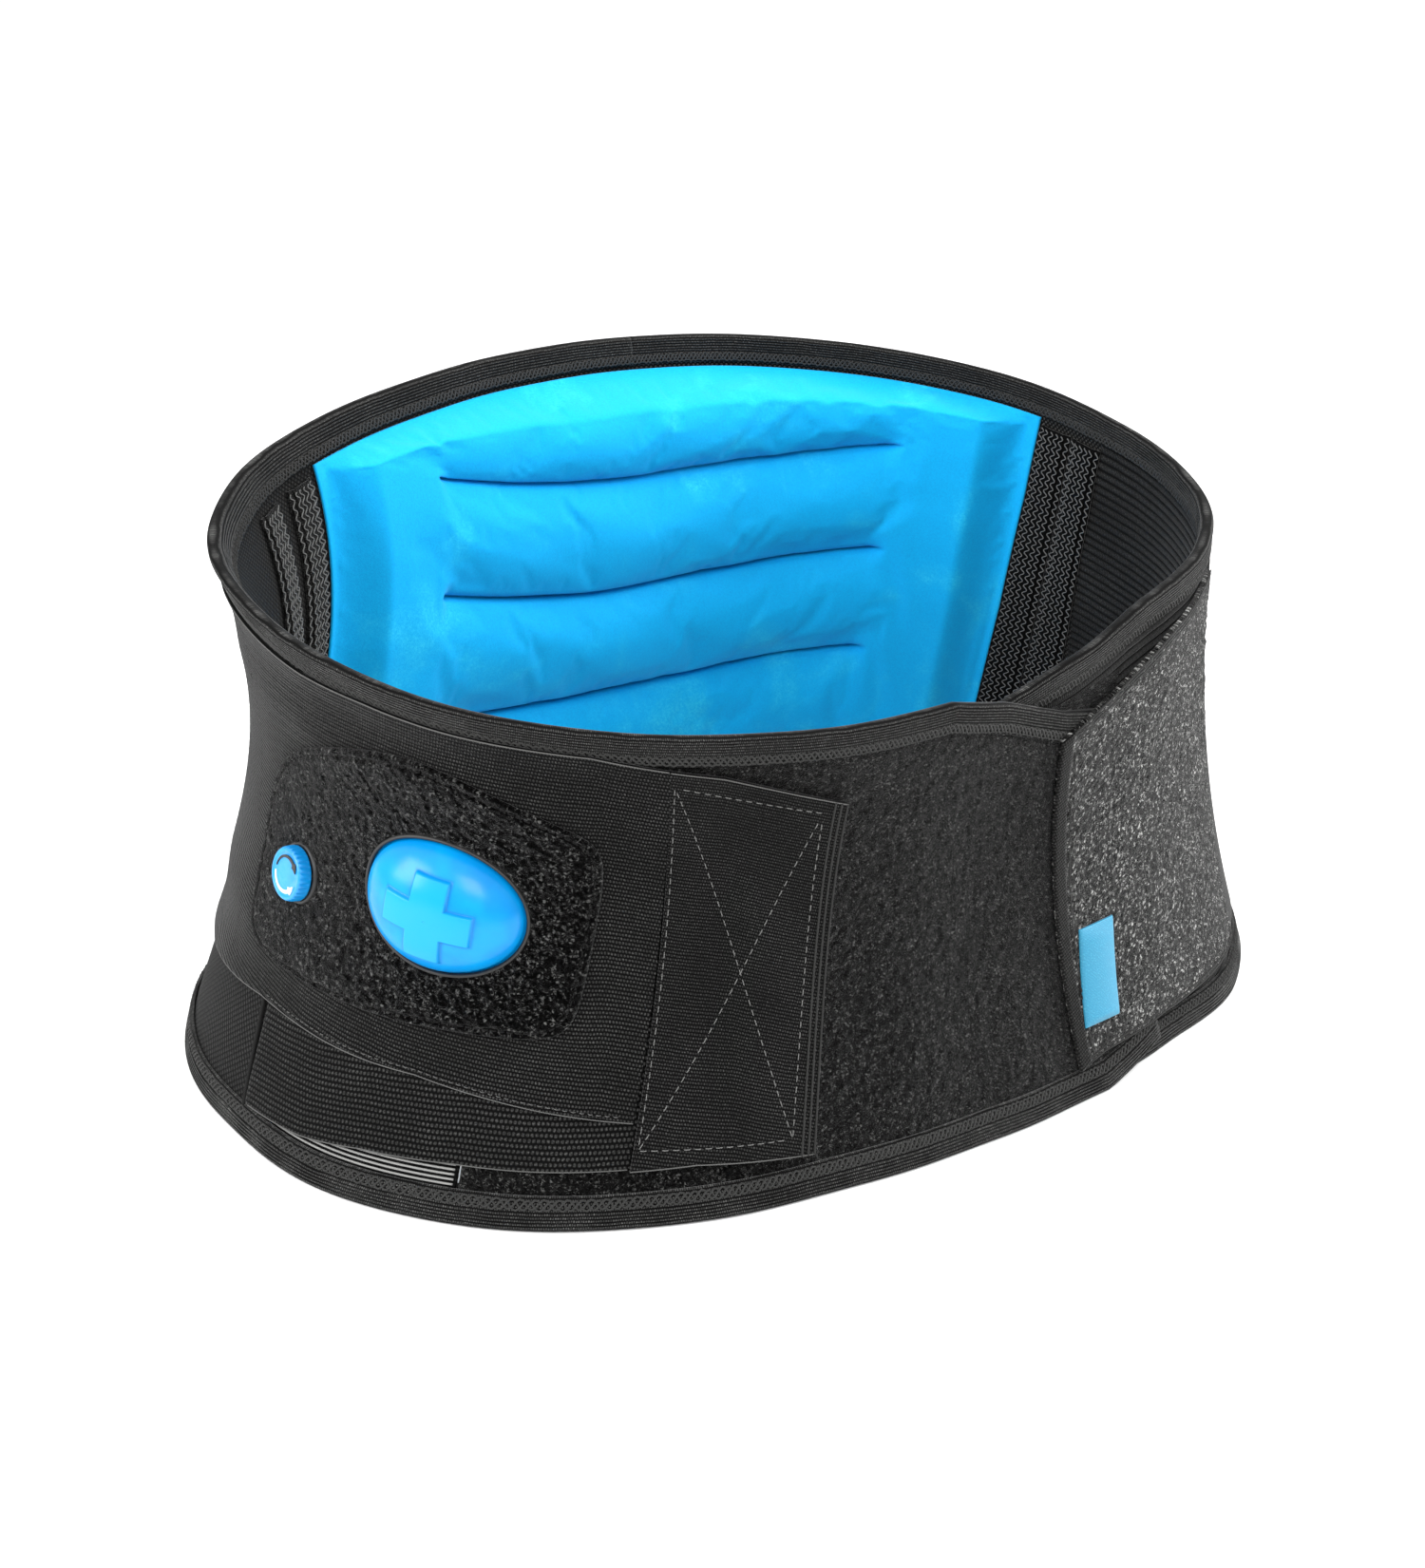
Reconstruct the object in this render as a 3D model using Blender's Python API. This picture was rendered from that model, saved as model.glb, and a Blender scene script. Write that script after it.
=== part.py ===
"""Lumbar support belt: an elastic belt with stays, an inflatable back pad, a squeeze pump and hook-and-loop ends.

Run it with: blender --background --python part.py
Metres, +Z up. The belt stands closed on its lower edge, its back towards +Y and its front towards -Y.

A place on the belt is (angle, height, out). The angle is in degrees, anticlockwise from +X seen from above: 90 is
the middle of the back, 180 the wearer's right, 270 the front and 360 the wearer's left. The height is a fraction of
the belt's own height there. Out is the level distance outside the base cloth's inner face, and negative inside it.
"""

import math

import bmesh
import bpy
import numpy as np
from mathutils import Matrix, Vector

MM = 0.001
GAP = 0.3 * MM  # running gap between pieces that touch

# Form of the belt: two rounded ovals, one above the other, drawn in at the waist
CENTRE = (0.0068, 0.0044)  # puts the origin in the middle of the belt's box
TOP_OVAL = (0.1781, 0.1376, 2.243)  # half width, half depth, squareness
BOTTOM_OVAL = (0.2057, 0.1479, 2.350)
BOTTOM_SHIFT = (0.0060, -0.0023)
OVAL_TURN = math.radians(19)
BACK_SWELL = 0.0446
WAIST_LEFT = 0.0210  # how far the waist is drawn in at angle 180
WAIST_RIGHT = 0.0083
WAIST_SKEW = 0.35  # puts the left waist above the middle
HEIGHT = 0.1795  # at the sides
BACK_RISE = 0.031  # added at the back and taken off at the front

# Cloth
CLOTH = 1.8 * MM
BINDING_TALL = 9.5 * MM
BINDING_WALL = 0.9 * MM
BINDING_GAP = 0.5 * MM
BINDING_OUT = CLOTH + BINDING_GAP
BINDING_CAP = 0.4 * MM
LIFT = BINDING_CAP + BINDING_WALL  # the lower binding stands this far below the cloth
COLUMN = 5.0  # grid lines of a cloth piece stand at multiples of this angle, so layers match
SEAM = 0.1  # half of the gap at a seam, in degrees

# Seams and ends, as angles
LEFT_HINGE = 170.0
RIGHT_HINGE = 12.0
MESH_END = 200.0
ELASTIC_END = 225.7
FRONT_END = 321.0
FLAP_END = 280.0
FLAP_LEVEL = -5.2 * MM
FLAP_BEND = (324.0, 342.0)  # between these the right side steps in to become the inner flap

# Pull strap
STRAP_HINGE = 191.0
STRAP_OUT = 3.6 * MM
STRAP_THICK = 1.2 * MM
STRAP_HUMP = 2.4 * MM  # the strap stands off over the pump
LOWER_BAND_OUT = 2.2 * MM
LOWER_BAND_THICK = 1.0 * MM
TAB_START = (241.4, 246.1)  # at the strap's lower and upper edge
TAB_END = (261.5, 268.1)
STRAP_TOP = ((134, 0.93), (205, 0.935), (214, 0.953), (238, 0.955), (252, 0.915), (268, 0.829))
STRAP_BOTTOM = ((134, 0.24), (183, 0.22), (198, 0.25), (220, 0.25), (243, 0.193))
BAND_BOTTOM = ((201, 0.062), (209, 0.070), (216, 0.092), (225, 0.103), (248, 0.108), (261, 0.086))
BAND_TOP_HEIGHT = 0.40
ANCHOR_START = 134.0

# Wing
WING_START = 304.8
WING_HINGE = 316.2
WING_END = 346.0  # the plush ends here, and elastic goes on to the wing's root
WING_ROOT = 354.0
WING_TOP = ((304, 0.82), (312, 0.87), (319, 0.904), (328, 0.932), (345, 0.925), (404, 0.90))
WING_BOTTOM = ((304, 0.066), (310, 0.088), (322, 0.102), (343, 0.085), (404, 0.14))
WING_ANCHOR_END = 404.0
WING_OUT = 3.6 * MM
BAND_OUT = 2.4 * MM

# Pump
BULB_PLACE = (221.2, 0.588)
BULB_HALF = (24.6 * MM, 19.6 * MM)
BULB_HEIGHT = 12.0 * MM
BULB_WALL = 1.2 * MM
BULB_REST = 8.4 * MM
BULB_HOLE = (26.1 * MM, 21.1 * MM)
COLLAR_HALF = (28.4 * MM, 23.4 * MM)
PATCH_OUT = STRAP_OUT + STRAP_HUMP + STRAP_THICK + 2 * GAP
PATCH_THICK = 1.6 * MM
PATCH_CORNERS = ((-62, 32), (-4, 48), (50, 28), (39, -36), (-85, -41), (-87, 10))  # mm from the bulb's centre
KNOB_PLACE = (201.9, 0.525)
KNOB_RADIUS = 8.4 * MM
KNOB_HEIGHT = 5.6 * MM
SPINDLE_RADIUS = 2.6 * MM
HOSE_RADIUS = 1.5 * MM
HOSE_OUT = 3.9 * MM
HOSE_HEIGHT = 0.525
PORT_ANGLE = 147.0

# Back pad
PAD_BOTTOM, PAD_TOP = 0.10, 0.947
PAD_RIGHT = ((0.1, 43.0), (0.5, 36.0), (0.775, 31.9), (0.95, 29.8))  # (height, angle) along the pad's upright edges
PAD_LEFT = ((0.1, 158.0), (0.6, 156.4), (0.95, 151.4))
PAD_SIDE_DEPTH = 11.0 * MM
PAD_MIDDLE_DEPTH = 27.0 * MM
PAD_COLUMN = 0.14  # width of the upright chamber at each side, as a fraction of the pad
CHANNELS = 4
CHANNEL_DIP = 0.30
CHANNEL_RISE = (0.11, 0.04, 0.18)  # how far the welds stand above even spacing: right end, all, left end
PAD_CLOTH = 1.0 * MM
PAD_CELLS = (24, 16)
BLADDER_CELLS_IN = 2

# Stays and their casings: degrees from the pad's upright edge
CASINGS = {"right": ((-2.9, -2.9), (-8.3, -8.3)), "left": ((3.1, 3.9), (8.6, 12.2))}  # at the lower and upper end
CASING_HALF = {"right": 2.5, "left": 2.6}
STAY_HALF = 1.35
STAY_THICK = 0.8 * MM

COLOURS = {
    "mesh cloth": ((0.012, 0.012, 0.012), 0.9),
    "elastic": ((0.018, 0.018, 0.018), 0.85),
    "loop pile": ((0.015, 0.015, 0.014), 1.0),
    "grey loop pile": ((0.10, 0.10, 0.10), 1.0),
    "binding": ((0.010, 0.010, 0.010), 0.8),
    "hook": ((0.008, 0.008, 0.008), 0.6),
    "blue velour": ((0.010, 0.400, 0.850), 0.8),
    "blue rubber": ((0.010, 0.330, 0.850), 0.3),
    "blue label": ((0.010, 0.400, 0.720), 0.6),
    "clear vinyl": ((0.600, 0.700, 0.750), 0.3),
    "black plastic": ((0.010, 0.010, 0.010), 0.4),
    "spring steel": ((0.500, 0.500, 0.520), 0.3),
}


# --- the belt's form -------------------------------------------------------------------------------------------


def smooth(x):
    x = min(max(x, 0.0), 1.0)
    return x * x * (3 - 2 * x)


def knots(points, x):
    """The value at x of a line through (x, value) points."""
    return float(np.interp(x, [p[0] for p in points], [p[1] for p in points]))


def oval(angle, half_width, half_depth, squareness):
    across = abs(math.cos(angle - OVAL_TURN) / half_width) ** squareness
    along = abs(math.sin(angle - OVAL_TURN) / half_depth) ** squareness
    return (across + along) ** (-1 / squareness) * (1 + BACK_SWELL * math.sin(angle))


def belt_height(degrees):
    return HEIGHT + BACK_RISE * math.sin(math.radians(degrees))


def on_base(degrees, height):
    """A point on the base cloth's inner face."""
    angle = math.radians(degrees)
    low, high = oval(angle, *BOTTOM_OVAL), oval(angle, *TOP_OVAL)
    waist = (WAIST_LEFT + WAIST_RIGHT) / 2 - (WAIST_LEFT - WAIST_RIGHT) / 2 * math.cos(angle)
    level = max(height, 0.0) ** (1 + WAIST_SKEW * (0.5 - 0.5 * math.cos(angle)))
    radius = low + (high - low) * height - 4 * waist * level * (1 - level)
    x = radius * math.cos(angle) + BOTTOM_SHIFT[0] * (1 - height) - CENTRE[0]
    y = radius * math.sin(angle) + BOTTOM_SHIFT[1] * (1 - height) - CENTRE[1]
    return Vector((x, y, LIFT + height * belt_height(degrees)))


def outward(degrees, height):
    """The level direction square to the belt, away from its inside."""
    along = on_base(degrees + 0.5, height) - on_base(degrees - 0.5, height)
    return Vector((along.y, -along.x, 0)).normalized()


def wrap(degrees, height, out):
    return on_base(degrees, height) + outward(degrees, height) * out


def per_degree(degrees, height):
    return (on_base(degrees + 0.5, height) - on_base(degrees - 0.5, height)).length


def beside(place, across, up, out):
    """A point that many metres along the belt and up from a place on it."""
    degrees, height = place
    return wrap(degrees + across / per_degree(degrees, height), height + up / belt_height(degrees), out)


def square_frame(place, out):
    """The matrix of a rigid piece that stands on the belt at a place: +X along it, +Y up it and +Z off it."""
    degrees, height = place
    across = (on_base(degrees + 0.5, height) - on_base(degrees - 0.5, height)).normalized()
    up = (on_base(degrees, height + 0.01) - on_base(degrees, height - 0.01)).normalized()
    off = across.cross(up).normalized()
    turned = Matrix((across, off.cross(across), off)).transposed().to_4x4()
    return Matrix.Translation(wrap(degrees, height, out)) @ turned


def strap_level(degrees, height):
    """How far out the pull strap's inner face lies. It swells over the pump and the hose."""
    rise = smooth((degrees - ANCHOR_START) / 9) * smooth((241.5 - degrees) / 8)
    band = smooth((height - 0.27) / 0.12) * smooth((0.92 - height) / 0.12)
    return STRAP_OUT + STRAP_HUMP * rise * band


def flap_level(degrees):
    """How far out the right side's inner face lies. Past its bend it becomes the flap inside the front panel."""
    return FLAP_LEVEL * smooth((FLAP_BEND[1] - degrees) / (FLAP_BEND[1] - FLAP_BEND[0]))


def wing_level(degrees):
    return BAND_OUT + (WING_OUT - BAND_OUT) * smooth((WING_END - degrees) / (WING_END - WING_HINGE))


# --- scene and modelling helpers -------------------------------------------------------------------------------


def clear_scene():
    for obj in list(bpy.data.objects):
        bpy.data.objects.remove(obj, do_unlink=True)


def new_collection(name):
    collection = bpy.data.collections.new(name)
    bpy.context.scene.collection.children.link(collection)
    return collection


def material_named(name):
    if name in bpy.data.materials:
        return bpy.data.materials[name]
    colour, roughness = COLOURS[name]
    material = bpy.data.materials.new(name)
    material.use_nodes = True
    shader = material.node_tree.nodes["Principled BSDF"]
    shader.inputs["Base Color"].default_value = (*colour, 1)
    shader.inputs["Roughness"].default_value = roughness
    shader.inputs["Metallic"].default_value = 1.0 if "steel" in name else 0.0
    return material


def add_object(name, mesh, material, body):
    """Puts a finished bmesh in the scene as one piece of a body."""
    data = bpy.data.meshes.new(name)
    mesh.to_mesh(data)
    mesh.free()
    data.shade_smooth()
    data.set_sharp_from_angle(angle=math.radians(35))
    obj = bpy.data.objects.new(name, data)
    data.materials.append(material_named(material))
    BELT.objects.link(obj)
    if BODIES[body] is not None:
        obj.parent = BODIES[body]
        obj.matrix_parent_inverse = BODIES[body].matrix_world.inverted()
    return obj


def add_body(name, place):
    """An empty on a moving body's joint axis, which its pieces are parented to."""
    empty = bpy.data.objects.new(name + "_axis", None)
    empty.location = place
    empty.empty_display_size = 0.02
    BELT.objects.link(empty)
    bpy.context.view_layer.update()
    BODIES[name] = empty


def sheet_mesh(columns, rows, back, face, ring=False):
    """A closed sheet made from a grid: its two sides lie where back(u, v) and face(u, v) put them."""
    mesh = bmesh.new()
    bmesh.ops.create_grid(mesh, x_segments=columns, y_segments=rows, size=0.5)
    u_layer = mesh.verts.layers.float.new("u")
    v_layer = mesh.verts.layers.float.new("v")
    for vertex in mesh.verts:
        vertex[u_layer] = vertex.co.x + 0.5
        vertex[v_layer] = vertex.co.y + 0.5
        vertex.co = back(vertex[u_layer], vertex[v_layer])
    if ring:
        bmesh.ops.remove_doubles(mesh, verts=mesh.verts, dist=0.01 * MM)
    made = bmesh.ops.extrude_face_region(mesh, geom=mesh.faces[:])
    for vertex in (item for item in made["geom"] if isinstance(item, bmesh.types.BMVert)):
        vertex.co = face(vertex[u_layer], vertex[v_layer])
    bmesh.ops.recalc_face_normals(mesh, faces=mesh.faces)
    return mesh


def constant_or_line(edge, fraction):
    return edge if isinstance(edge, float) else edge[0] + (edge[1] - edge[0]) * fraction


def stations(start, end):
    """The grid line angles from start to end: both ends and each multiple of COLUMN that isn't close to one."""
    first, last = math.floor(start / COLUMN), math.ceil(end / COLUMN)
    inner = (index * COLUMN for index in range(first, last + 1))
    return [start, *(angle for angle in inner if start + 1 < angle < end - 1), end]


def cloth(name, material, body, start, end, low, high, level, thick, rows=12):
    """A sheet of cloth on the belt between two angles, which may slant, and two edges along the belt."""
    angles = stations(constant_or_line(start, 0.5), constant_or_line(end, 0.5))
    columns = len(angles) - 1

    def place(u, v):
        if isinstance(start, float) and isinstance(end, float):
            degrees = angles[round(u * columns)]
        else:
            degrees = constant_or_line(start, v) + (constant_or_line(end, v) - constant_or_line(start, v)) * u
        return degrees, knots(low, degrees) + (knots(high, degrees) - knots(low, degrees)) * v

    def side(extra):
        return lambda u, v: wrap(*place(u, v), level(*place(u, v)) + extra)

    mesh = sheet_mesh(columns, rows, side(0), side(thick))
    return add_object(name, mesh, material, body)


def binding(name, body, start, end, edge, upwards, level=lambda degrees: 0.0):
    """A folded tape over an edge of the cloth: a channel with an outer leg, a cap and an inner leg."""
    legs = ((-1, BINDING_OUT), (1, BINDING_OUT), (1, -BINDING_GAP), (-1, -BINDING_GAP))
    angles = stations(start, end)

    def side(wall):
        def point(u, v):
            reach, out = legs[round(v * 3)]
            degrees = angles[round(u * (len(angles) - 1))]
            rise = BINDING_CAP + wall if reach > 0 else -BINDING_TALL
            away = wall if out > 0 else -wall
            height = knots(edge, degrees) + upwards * rise / belt_height(degrees)
            return wrap(degrees, height, level(degrees) + out + away)

        return point

    mesh = sheet_mesh(len(angles) - 1, 3, side(0), side(BINDING_WALL))
    return add_object(name, mesh, "binding", body)


def round_square(u, v):
    """Maps the unit square to the unit disc, so a grid can be round without a pole."""
    x, y = 2 * u - 1, 2 * v - 1
    return x * math.sqrt(1 - y * y / 2), y * math.sqrt(1 - x * x / 2)


def disc_mesh(place, half, back, face, cells=6):
    """An oval plate that lies along the belt."""

    def side(out):
        def point(u, v):
            x, y = round_square(u, v)
            return beside(place, x * half[0], y * half[1], out)

        return point

    return sheet_mesh(cells, cells, side(back), side(face))


def ring_mesh(place, inner, outer, back, face, segments=36, rings=1):
    """A flat ring that lies along the belt. Inner and outer give the half sizes at each angle round it."""

    def side(level):
        def point(u, v):
            turn = 2 * math.pi * u
            a, b = inner(turn), outer(turn)
            across = a[0] + (b[0] - a[0]) * v
            up = a[1] + (b[1] - a[1]) * v
            degrees, height = place
            there = (degrees + across / per_degree(*place), height + up / belt_height(degrees))
            return wrap(*there, level(*there))

        return point

    return sheet_mesh(segments, rings, side(back), side(face), ring=True)


def ellipse(half):
    return lambda turn: (half[0] * math.cos(turn), half[1] * math.sin(turn))


def soft_polygon(corners, power=9):
    """A polygon with rounded corners, as the half sizes at each angle round its middle."""
    sides = []
    for (x0, y0), (x1, y1) in zip(corners, corners[1:] + corners[:1]):
        normal = Vector((y0 - y1, x1 - x0)).normalized()
        if normal.dot(Vector((x0, y0))) < 0:
            normal = -normal
        sides.append((normal, normal.dot(Vector((x0, y0)))))

    def outline(turn):
        way = Vector((math.cos(turn), math.sin(turn)))
        total = sum(max(0.0, normal.dot(way) / reach) ** power for normal, reach in sides)
        return way * total ** (-1 / power)

    return outline


def cut(obj, cutter_mesh, name):
    """Cuts a hole in a piece with a closed mesh."""
    data = bpy.data.meshes.new(name)
    cutter_mesh.to_mesh(data)
    cutter_mesh.free()
    cutter = bpy.data.objects.new(name, data)
    cutter.hide_render = True
    cutter.display_type = "WIRE"
    CUTTERS.objects.link(cutter)
    modifier = obj.modifiers.new(name, "BOOLEAN")
    modifier.operation = "DIFFERENCE"
    modifier.solver = "EXACT"
    modifier.object = cutter


def tube(name, material, body, points, radius):
    """A round hose through points on a smooth line."""
    data = bpy.data.curves.new(name, "CURVE")
    data.dimensions = "3D"
    data.bevel_depth = radius
    data.bevel_resolution = 2
    data.use_fill_caps = True
    spline = data.splines.new("POLY")
    spline.points.add(len(points) - 1)
    for point, place in zip(spline.points, points):
        point.co = (*place, 1)
    obj = bpy.data.objects.new(name, data)
    data.materials.append(material_named(material))
    BELT.objects.link(obj)
    if BODIES[body] is not None:
        obj.parent = BODIES[body]
        obj.matrix_parent_inverse = BODIES[body].matrix_world.inverted()
    return obj


def hose(name, body, start, end, radius=HOSE_RADIUS, out=HOSE_OUT, height=(HOSE_HEIGHT, HOSE_HEIGHT)):
    """A hose along the belt between two angles."""
    steps = max(2, round(abs(end - start) / 2.5))
    fractions = [i / steps for i in range(steps + 1)]
    points = [
        wrap(start + (end - start) * f, height[0] + (height[1] - height[0]) * smooth(f), out) for f in fractions
    ]
    return tube(name, "clear vinyl", body, points, radius)


def peg_mesh(place, radius, back, face, segments=20):
    """A round pin square to the belt."""
    mesh = bmesh.new()
    bmesh.ops.create_cone(
        mesh, cap_ends=True, segments=segments, radius1=radius, radius2=radius, depth=face - back,
        matrix=square_frame(place, (face + back) / 2),
    )
    return mesh


# --- base belt -------------------------------------------------------------------------------------------------

FULL_BOTTOM = ((0, 0.0), (1, 0.0))
FULL_TOP = ((0, 1.0), (1, 1.0))
FRONT_TOP = ((284, 1.0), (294.5, 0.952), (306.4, 0.872), (321, 0.800))
FRONT_BOTTOM = ((310, 0.0), (321, 0.05))
RIGHT_TOP = ((280, 0.90), (292, 0.94), (305, 0.985), (318, 1.0))


def level_zero(degrees, height):
    return 0.0


def make_back():
    start, end = RIGHT_HINGE + SEAM, LEFT_HINGE - SEAM
    panel = cloth("back_panel", "mesh cloth", "back", start, end, FULL_BOTTOM, FULL_TOP, level_zero, CLOTH)
    cut(panel, peg_mesh((PORT_ANGLE, HOSE_HEIGHT), 4.4 * MM, -4 * MM, 6 * MM), "port_hole_cutter")
    binding("top_binding_back", "back", start, end, FULL_TOP, 1)
    binding("bottom_binding_back", "back", start, end, FULL_BOTTOM, -1)


def make_left_side():
    first, last = LEFT_HINGE + SEAM, FRONT_END
    pieces = (
        ("left_side_panel", "mesh cloth", first, MESH_END - SEAM, FULL_BOTTOM, FULL_TOP),
        ("left_elastic_panel", "elastic", MESH_END + SEAM, ELASTIC_END - SEAM, FULL_BOTTOM, FULL_TOP),
        ("front_panel", "loop pile", ELASTIC_END + SEAM, last, FRONT_BOTTOM, FRONT_TOP),
    )
    for name, material, start, end, low, high in pieces:
        cloth(name, material, "left_side", start, end, low, high, level_zero, CLOTH)
    binding("top_binding_left", "left_side", first, last, FRONT_TOP, 1)
    binding("bottom_binding_left", "left_side", first, last, FRONT_BOTTOM, -1)
    hook_level = -1.4 * MM
    cloth(
        "front_end_hook", "hook", "left_side", 298.0, 319.5, ((0, 0.13), (1, 0.13)), ((298, 0.78), (320, 0.67)),
        lambda degrees, height: hook_level, 0.9 * MM, rows=4,
    )


def make_right_side():
    first, last = 360 + RIGHT_HINGE - SEAM, FLAP_END
    level = lambda degrees, height: flap_level(degrees)
    cloth("right_side_panel", "elastic", "right_side", last, first, FULL_BOTTOM, RIGHT_TOP, level, CLOTH)
    binding("top_binding_right", "right_side", last, first, RIGHT_TOP, 1, flap_level)
    binding("bottom_binding_right", "right_side", last, first, FULL_BOTTOM, -1, flap_level)
    loop_level = FLAP_LEVEL + CLOTH + GAP
    cloth(
        "flap_loop", "loop pile", "right_side", 284.0, 319.5, ((0, 0.1), (1, 0.1)), ((284, 0.82), (300, 0.88), (320, 0.89)),
        lambda degrees, height: loop_level, 0.8 * MM, rows=6,
    )


# --- stays -----------------------------------------------------------------------------------------------------


def upright_strip(name, material, side, offset, half, low, high, inner, outer, columns):
    """A strip beside the pad that slants with the pad's upright edge. Inner and outer give out at each u."""
    pad_edge = PAD_RIGHT if side == "right" else PAD_LEFT

    def face(level):
        def point(u, v):
            height = low + (high - low) * v
            middle = knots(pad_edge, height) + offset[0] + (offset[1] - offset[0]) * height
            return wrap(middle + (2 * u - 1) * half, height, level(u))

        return point

    return add_object(name, sheet_mesh(columns, 12, face(inner), face(outer)), material, "back")


def make_stays():
    depth = STAY_THICK

    def pocket(u):
        """Zero at the casing's stitched edges, and one over the stay."""
        return smooth(min(u, 1 - u) / 0.16)

    number = 0
    for side, offsets in CASINGS.items():
        for offset in offsets:
            number += 1
            half = CASING_HALF[side]
            upright_strip(
                f"stay_casing_{number}", "binding", side, offset, half, 0.075, 0.925,
                lambda u: -2.3 * MM + depth * (1 - pocket(u)), lambda u: -1.6 * MM + depth * (1 - pocket(u)), 6,
            )
            upright_strip(
                f"stay_{number}", "spring steel", side, offset, STAY_HALF, 0.10, 0.90,
                lambda u: -1.3 * MM, lambda u: -0.5 * MM, 2,
            )


# --- back pad --------------------------------------------------------------------------------------------------


def pad_place(u, v, cells_in=0):
    """A place on the pad. The bladder's grid is the cover's own grid without the outermost cells."""
    u = (cells_in + (PAD_CELLS[0] - 2 * cells_in) * u) / PAD_CELLS[0]
    v = (cells_in + (PAD_CELLS[1] - 2 * cells_in) * v) / PAD_CELLS[1]
    height = PAD_BOTTOM + (PAD_TOP - PAD_BOTTOM) * v
    right, left = knots(PAD_RIGHT, height), knots(PAD_LEFT, height)
    return right + (left - right) * u, height, u, v


def pad_depth(u, v):
    """How thick the inflated pad is. Welds across its middle make channels between two upright chambers."""
    body = PAD_SIDE_DEPTH + (PAD_MIDDLE_DEPTH - PAD_SIDE_DEPTH) * math.sin(math.pi * u)
    rise = smooth(u / 0.05) * smooth((1 - u) / 0.05) * smooth(v / 0.07) * smooth((1 - v) / 0.07)
    middle = smooth((u - PAD_COLUMN) / 0.04) * smooth((1 - PAD_COLUMN - u) / 0.04)
    right, all_over, left = CHANNEL_RISE
    ends = right * max(0.0, 1 - 2 * u) ** 2 + left * max(0.0, 2 * u - 1) ** 2
    even = v - (all_over + ends * (0.4 + 0.9 * v)) * smooth(v / 0.25) * smooth((1 - v) / 0.12)
    channel = abs(math.sin(math.pi * CHANNELS * even)) ** 0.6
    return body * rise * (1 - CHANNEL_DIP * middle * (1 - channel))


def make_pad():
    edge = 0.5 * MM

    def cover(extra):
        def point(u, v):
            degrees, height, pu, pv = pad_place(u, v)
            return wrap(degrees, height, -edge - extra - pad_depth(pu, pv))

        return point

    add_object("air_pad_cover", sheet_mesh(*PAD_CELLS, cover(PAD_CLOTH), cover(0)), "blue velour", "back")

    def bladder_front(u, v):
        degrees, height, pu, pv = pad_place(u, v, BLADDER_CELLS_IN)
        return wrap(degrees, height, 0.5 * MM - pad_depth(pu, pv))

    def bladder_back(u, v):
        degrees, height, pu, pv = pad_place(u, v, BLADDER_CELLS_IN)
        return wrap(degrees, height, -1.4 * MM)

    cells = [count - 2 * BLADDER_CELLS_IN for count in PAD_CELLS]
    add_object("air_bladder", sheet_mesh(*cells, bladder_front, bladder_back), "clear vinyl", "back")


# --- hose ------------------------------------------------------------------------------------------------------


def make_hose():
    port = (PORT_ANGLE, HOSE_HEIGHT)
    add_object("bladder_port", peg_mesh(port, 2.1 * MM, -1.0 * MM, 5.4 * MM), "clear vinyl", "back")
    grommet = peg_mesh(port, 4.0 * MM, -0.8 * MM, 2.2 * MM)
    obj = add_object("hose_grommet", grommet, "black plastic", "back")
    cut(obj, peg_mesh(port, 2.5 * MM, -3 * MM, 6 * MM), "grommet_bore_cutter")
    hose("back_hose", "back", PORT_ANGLE + 0.95, LEFT_HINGE - SEAM)
    hose("side_hose", "left_side", LEFT_HINGE + SEAM, STRAP_HINGE - SEAM)
    valve_edge = KNOB_PLACE[0] - 9.5 * MM / per_degree(*KNOB_PLACE)
    hose("strap_hose", "strap", STRAP_HINGE + SEAM, valve_edge)
    start = KNOB_PLACE[0] + 9.5 * MM / per_degree(*KNOB_PLACE)
    pump_edge = BULB_PLACE[0] - (COLLAR_HALF[0] + 0.4 * MM) / per_degree(*BULB_PLACE)
    middle = pump_edge - 3.0
    heights = (KNOB_PLACE[1], BULB_PLACE[1])
    hose("link_tube", "strap", start, middle, height=heights)
    check = hose("outlet_valve", "strap", middle + 0.4, pump_edge, radius=1.7 * MM, height=(heights[1],) * 2)
    check.data.materials[0] = material_named("black plastic")


# --- pull strap and pump ---------------------------------------------------------------------------------------


def make_strap():
    top, bottom = STRAP_TOP, STRAP_BOTTOM
    cloth(
        "strap_anchor", "elastic", "back", ANCHOR_START, LEFT_HINGE - SEAM, bottom, top, strap_level, STRAP_THICK,
        rows=10,
    )
    cloth(
        "strap_root", "elastic", "left_side", LEFT_HINGE + SEAM, STRAP_HINGE - SEAM, bottom, top, strap_level,
        STRAP_THICK, rows=10,
    )
    tab_start = tuple(angle - SEAM for angle in TAB_START)
    band = cloth(
        "strap_upper_band", "elastic", "strap", STRAP_HINGE + SEAM, tab_start, bottom, top, strap_level,
        STRAP_THICK, rows=10,
    )
    cut(band, disc_mesh(BULB_PLACE, BULB_HOLE, 1 * MM, 12 * MM), "band_bulb_hole_cutter")
    cut(band, peg_mesh(KNOB_PLACE, 3.6 * MM, 1 * MM, 12 * MM), "band_spindle_hole_cutter")
    cloth(
        "strap_lower_band", "elastic", "strap", 201.0, TAB_START[0] - SEAM, BAND_BOTTOM,
        ((0, BAND_TOP_HEIGHT), (1, BAND_TOP_HEIGHT)), lambda degrees, height: LOWER_BAND_OUT, LOWER_BAND_THICK, rows=4,
    )


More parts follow.
